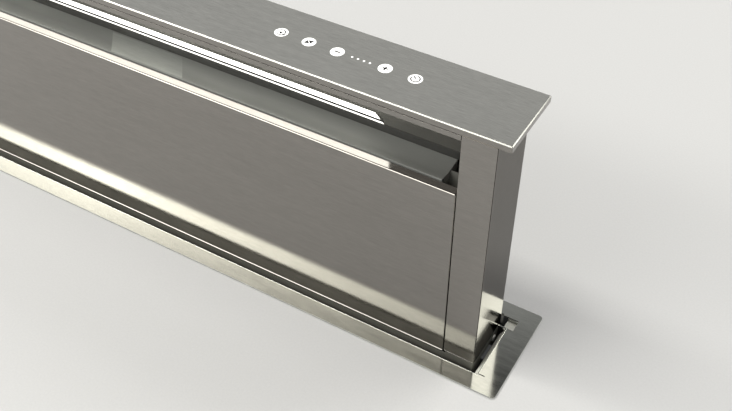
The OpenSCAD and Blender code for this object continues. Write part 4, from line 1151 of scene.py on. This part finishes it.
def toothed(radius, teeth, depth):
    """Outline of a pulley: each tooth's tip and gap begin and end at a share of the pitch"""
    pitch = 2 * math.pi / teeth
    return [(r * math.cos((i + part) * pitch), r * math.sin((i + part) * pitch))
            for i in range(teeth)
            for part, r in ((0.0, radius), (0.42, radius), (0.56, radius - depth), (0.86, radius - depth))]


def pulley(made, at):
    made.prism(toothed(PULLEY_R - 0.05, PULLEY_TEETH, 0.8), PULLEY_BOT, PULLEY_TOP, at)
    made.turned([(0, PULLEY_TOP + 0.01), (PULLEY_R * 0.5, PULLEY_TOP + 0.01),
                 (PULLEY_R * 0.55, PULLEY_TOP - 0.6), (0, PULLEY_TOP - 0.6)], at, 24)


def make_lift_screws():
    for side in ("left", "right"):
        node = "lift_screw_" + side
        low, high = span(node)
        x, y = (low.x + high.x) / 2, (low.y + high.y) / 2
        at = Matrix.Translation((x, y, 0))
        made = Build()
        made.turned([(0, low.z), (SCREW_R - 0.6, low.z), (SCREW_R, low.z + 0.6), (SCREW_R, PULLEY_TOP + 14),
                     (SCREW_R - THREAD_DEPTH, PULLEY_TOP + 15), (0, PULLEY_TOP + 15)], at, 32)
        thread(made, x, y, PULLEY_TOP + 14.5, high.z)
        pulley(made, at)
        made.piece("threaded_spindle_" + side, ground_screw, BODY_OF[node], (node,))


def make_drive_pulley():
    low, high = span("drive_pulley")
    at = Matrix.Translation(((low.x + high.x) / 2, (low.y + high.y) / 2, 0))
    made = Build()
    made.turned([(0, low.z), (3.5, low.z), (4, low.z + 0.5), (4, high.z - 0.5), (3.5, high.z), (0, high.z)],
                at, 32)
    pulley(made, at)
    made.piece("drive_pulley_toothed", shaft_steel, "drive", ("drive_pulley",))


make_cap()
make_keys()
make_posts()
standing_sheet("tower_back", "tower_back_sheet", 0.6)
standing_sheet("valance", "valance_strip", 0.4, 0.25)
make_panel()
make_stiffener()
make_light()
make_scoop()
make_flange()
make_felt()
make_soft_seals()
make_screw_heads()
make_wiper_heads()
make_guide_buttons()
make_ledge_upstands()
make_apron()
make_lift_screws()
make_drive_pulley()

# Node, new piece's name, finish, easing of the edges
COPIES = [
    ("led_soffit", "soffit_sheet", steel_inner, 0.2),
    ("corner_ledges", "corner_ledge_plates", steel_ledge, 0.2),
    ("wiper_seals", "wiper_strips", wiper_brush, 0.4),
    ("flange_gasket", "gasket_foam", black_rubber, 0.0),
    ("cap_base", "cap_base_sheet", steel_inner, 0.2),
    ("housing_front", "housing_front_sheet", zinc_sheet, 0.2),
    ("housing_back", "housing_back_sheet", zinc_sheet, 0.2),
    ("housing_end_left", "housing_left_sheet", zinc_sheet, 0.2),
    ("housing_end_right", "housing_right_sheet", zinc_sheet, 0.2),
    ("housing_floor", "housing_floor_sheet", zinc_sheet, 0.2),
    ("service_cover", "service_cover_sheet", zinc_small, 0.4),
    ("guide_rails", "guide_rail_profiles", drawn_rail, 0.3),
    ("lift_base_plate", "lift_base_sheet", zinc_small, 0.3),
    ("screw_bearings", "spindle_bearing_blocks", black_plastic, 0.6),
    ("lift_motor", "lift_motor_can", motor_black, 0.8),
    ("motor_bracket", "motor_bracket_plate", zinc_small, 0.3),
    ("lift_belt", "lift_belt_toothed", belt_rubber, 0.0),
    ("worktop_clamps", "worktop_clamp_set", zinc_small, 0.25),
    ("floor_brackets", "floor_bracket_angles", zinc_small, 0.5),
    ("blower_box", "blower_box_sheet", zinc_sheet, 0.2),
    ("blower_cover", "blower_cover_sheet", zinc_sheet, 0.3),
    ("blower_volute", "blower_volute_shell", grey_plastic, 0.3),
    ("inlet_ring", "inlet_bell_ring", grey_plastic, 0.3),
    ("blower_motor", "blower_motor_can", motor_black, 0.8),
    ("outlet_collar", "outlet_collar_moulding", grey_plastic, 0.4),
    ("flap_pin", "flap_pin_rod", shaft_steel, 0.2),
    ("electronics_box", "electronics_box_moulding", black_plastic, 0.6),
    ("electronics_cover", "electronics_cover_moulding", black_plastic, 0.8),
    ("control_board", "control_board_stack", board_green, 0.15),
    ("cable_gland", "cable_gland_moulding", black_plastic, 0.5),
    ("touch_board", "touch_board_stack", board_green, 0.1),
    ("led_board", "strip_board", board_white, 0.1),
    ("inner_column_left", "inner_column_left_tube", steel_column, 0.3),
    ("inner_column_right", "inner_column_right_tube", steel_column, 0.3),
    ("cross_rails", "cross_rail_bars", steel_inner, 0.3),
    ("lift_nuts", "lift_nut_pair", brass, 0.4),
    ("slide_shoes", "slide_shoe_set", grey_plastic, 0.5),
    ("filter_rails", "filter_rail_channels", filter_frame, 0.15),
    ("panel_catches", "panel_catch_set", black_plastic, 0.4),
    ("hinge_pins", "hinge_pin_pair", shaft_steel, 0.25),
    ("impeller", "impeller_wheel", grey_plastic, 0.1),
    ("flap_front", "flap_front_blade", black_plastic, 0.15),
    ("flap_rear", "flap_rear_blade", black_plastic, 0.15),
    ("grease_filters", "grease_filter_set", filter_net, 0.2),
]
for node, name, finish, ease in COPIES:
    eased_copy(node, name, finish, ease)


# Floor, light and camera

LAMP_COLOUR = (1, 0.985, 0.93)
FLOOR_REACH = 9000


def make_pale_floor():
    f = Finish("pale_floor", Roughness=0.75)
    f.set("Base Color", f.mix(f.noise(f.place, 420.0), grey(0.66), grey(0.72)))
    return f.material


def stage_slab(name, outline, low_z, high_z, material, holes=()):
    made = Build()
    made.prism(outline, low_z, high_z, holes=holes)
    mesh = made.mesh(name)
    mesh.materials.append(material)
    slab = bpy.data.objects.new(name, mesh)
    bpy.context.scene.collection.objects.link(slab)


def lay_floor():
    """A pale floor under the brackets, and over it the pale worktop that the housing goes through"""
    low, high = span("housing_front")[0], span("housing_back")[1]
    grip = span("worktop_clamps")[1].z
    foot = span("floor_brackets")[0].z
    pale = make_pale_floor()
    stage_slab("plain_worktop", rounded(*WORKTOP, 3.0, 3), grip + 0.05, -0.05, pale,
               [drawn_in(low, high, -1.0, 0.5, 1)])
    far = FLOOR_REACH
    stage_slab("plain_floor", [(-far, -far), (far, -far), (far, far), (-far, far)],
               foot - 1, foot - 0.05, pale)


def hang_lamp(name, at, size, power, fades=(), turn=0.0, aim=None):
    """A softbox that faces down or to a point

    Each fade is one of its axes, where it starts and ends along it, and the shares of the light there.
    """
    light = bpy.data.lights.new(name, "AREA")
    light.shape = "RECTANGLE"
    light.size, light.size_y = size
    light.energy = power
    light.color = LAMP_COLOUR
    if fades:
        light.use_nodes = True
        w = Wiring(light.node_tree)
        spot = w.split(w.put("NewGeometry").outputs["Parametric"])
        level = 1.0
        for axis, *limits in fades:
            level = w.times(w.between(spot[axis], *limits), level)
        w.feed(w.tree.nodes["Emission"].inputs["Strength"], level)
    lamp = bpy.data.objects.new(name, light)
    lamp.location = at
    lamp.rotation_euler.z = math.radians(turn)
    if aim:
        lamp.rotation_euler = (Vector(aim) - Vector(at)).to_track_quat("-Z", "Y").to_euler()
    bpy.context.scene.collection.objects.link(lamp)


def light_studio():
    """Softboxes at the left front, overhead and at the right, under an even sky that is darker overhead"""
    world = bpy.data.worlds.new("pale_studio")
    world.use_nodes = True
    w = Wiring(world.node_tree)
    rise = w.between(w.split(w.put("TexCoord").outputs["Generated"])[2], 0.68, 0.8)
    w.feed(w.tree.nodes["Background"].inputs["Color"], w.mix(rise, grey(0.68), grey(0.05)))
    bpy.context.scene.world = world
    hang_lamp("left_softbox", (-1.75, -1.9, 2.4), (3.3, 1.6), 150,
              ((0, 0.0, 0.35, 0.6, 1.0), (0, 0.35, 1.0, 1.0, 0.41), (1, 0.51, 0.68, 1.0, 0.12)), turn=-7)
    hang_lamp("overhead_strip", (-1.3, -0.35, 2.4), (3.0, 0.4), 40)
    hang_lamp("rear_softbox", (1.15, 1.65, 2.2), (1.2, 1.2), 27)
    hang_lamp("edge_softbox", (2.2, 1.62, 1.26), (0.8, 0.8), 7, aim=(0.41, 0.0, 0.3))


def place_camera():
    data = bpy.data.cameras.new("photo_camera")
    data.lens = LENS
    data.sensor_width = FILM
    camera = bpy.data.objects.new("photo_camera", data)
    camera.location = CAMERA_AT
    camera.rotation_euler = (-Vector(CAMERA_BACK)).to_track_quat("-Z", "Y").to_euler()
    bpy.context.scene.collection.objects.link(camera)
    bpy.context.scene.camera = camera
    bpy.context.scene.view_settings.view_transform = "Standard"


lay_floor()
light_studio()
place_camera()
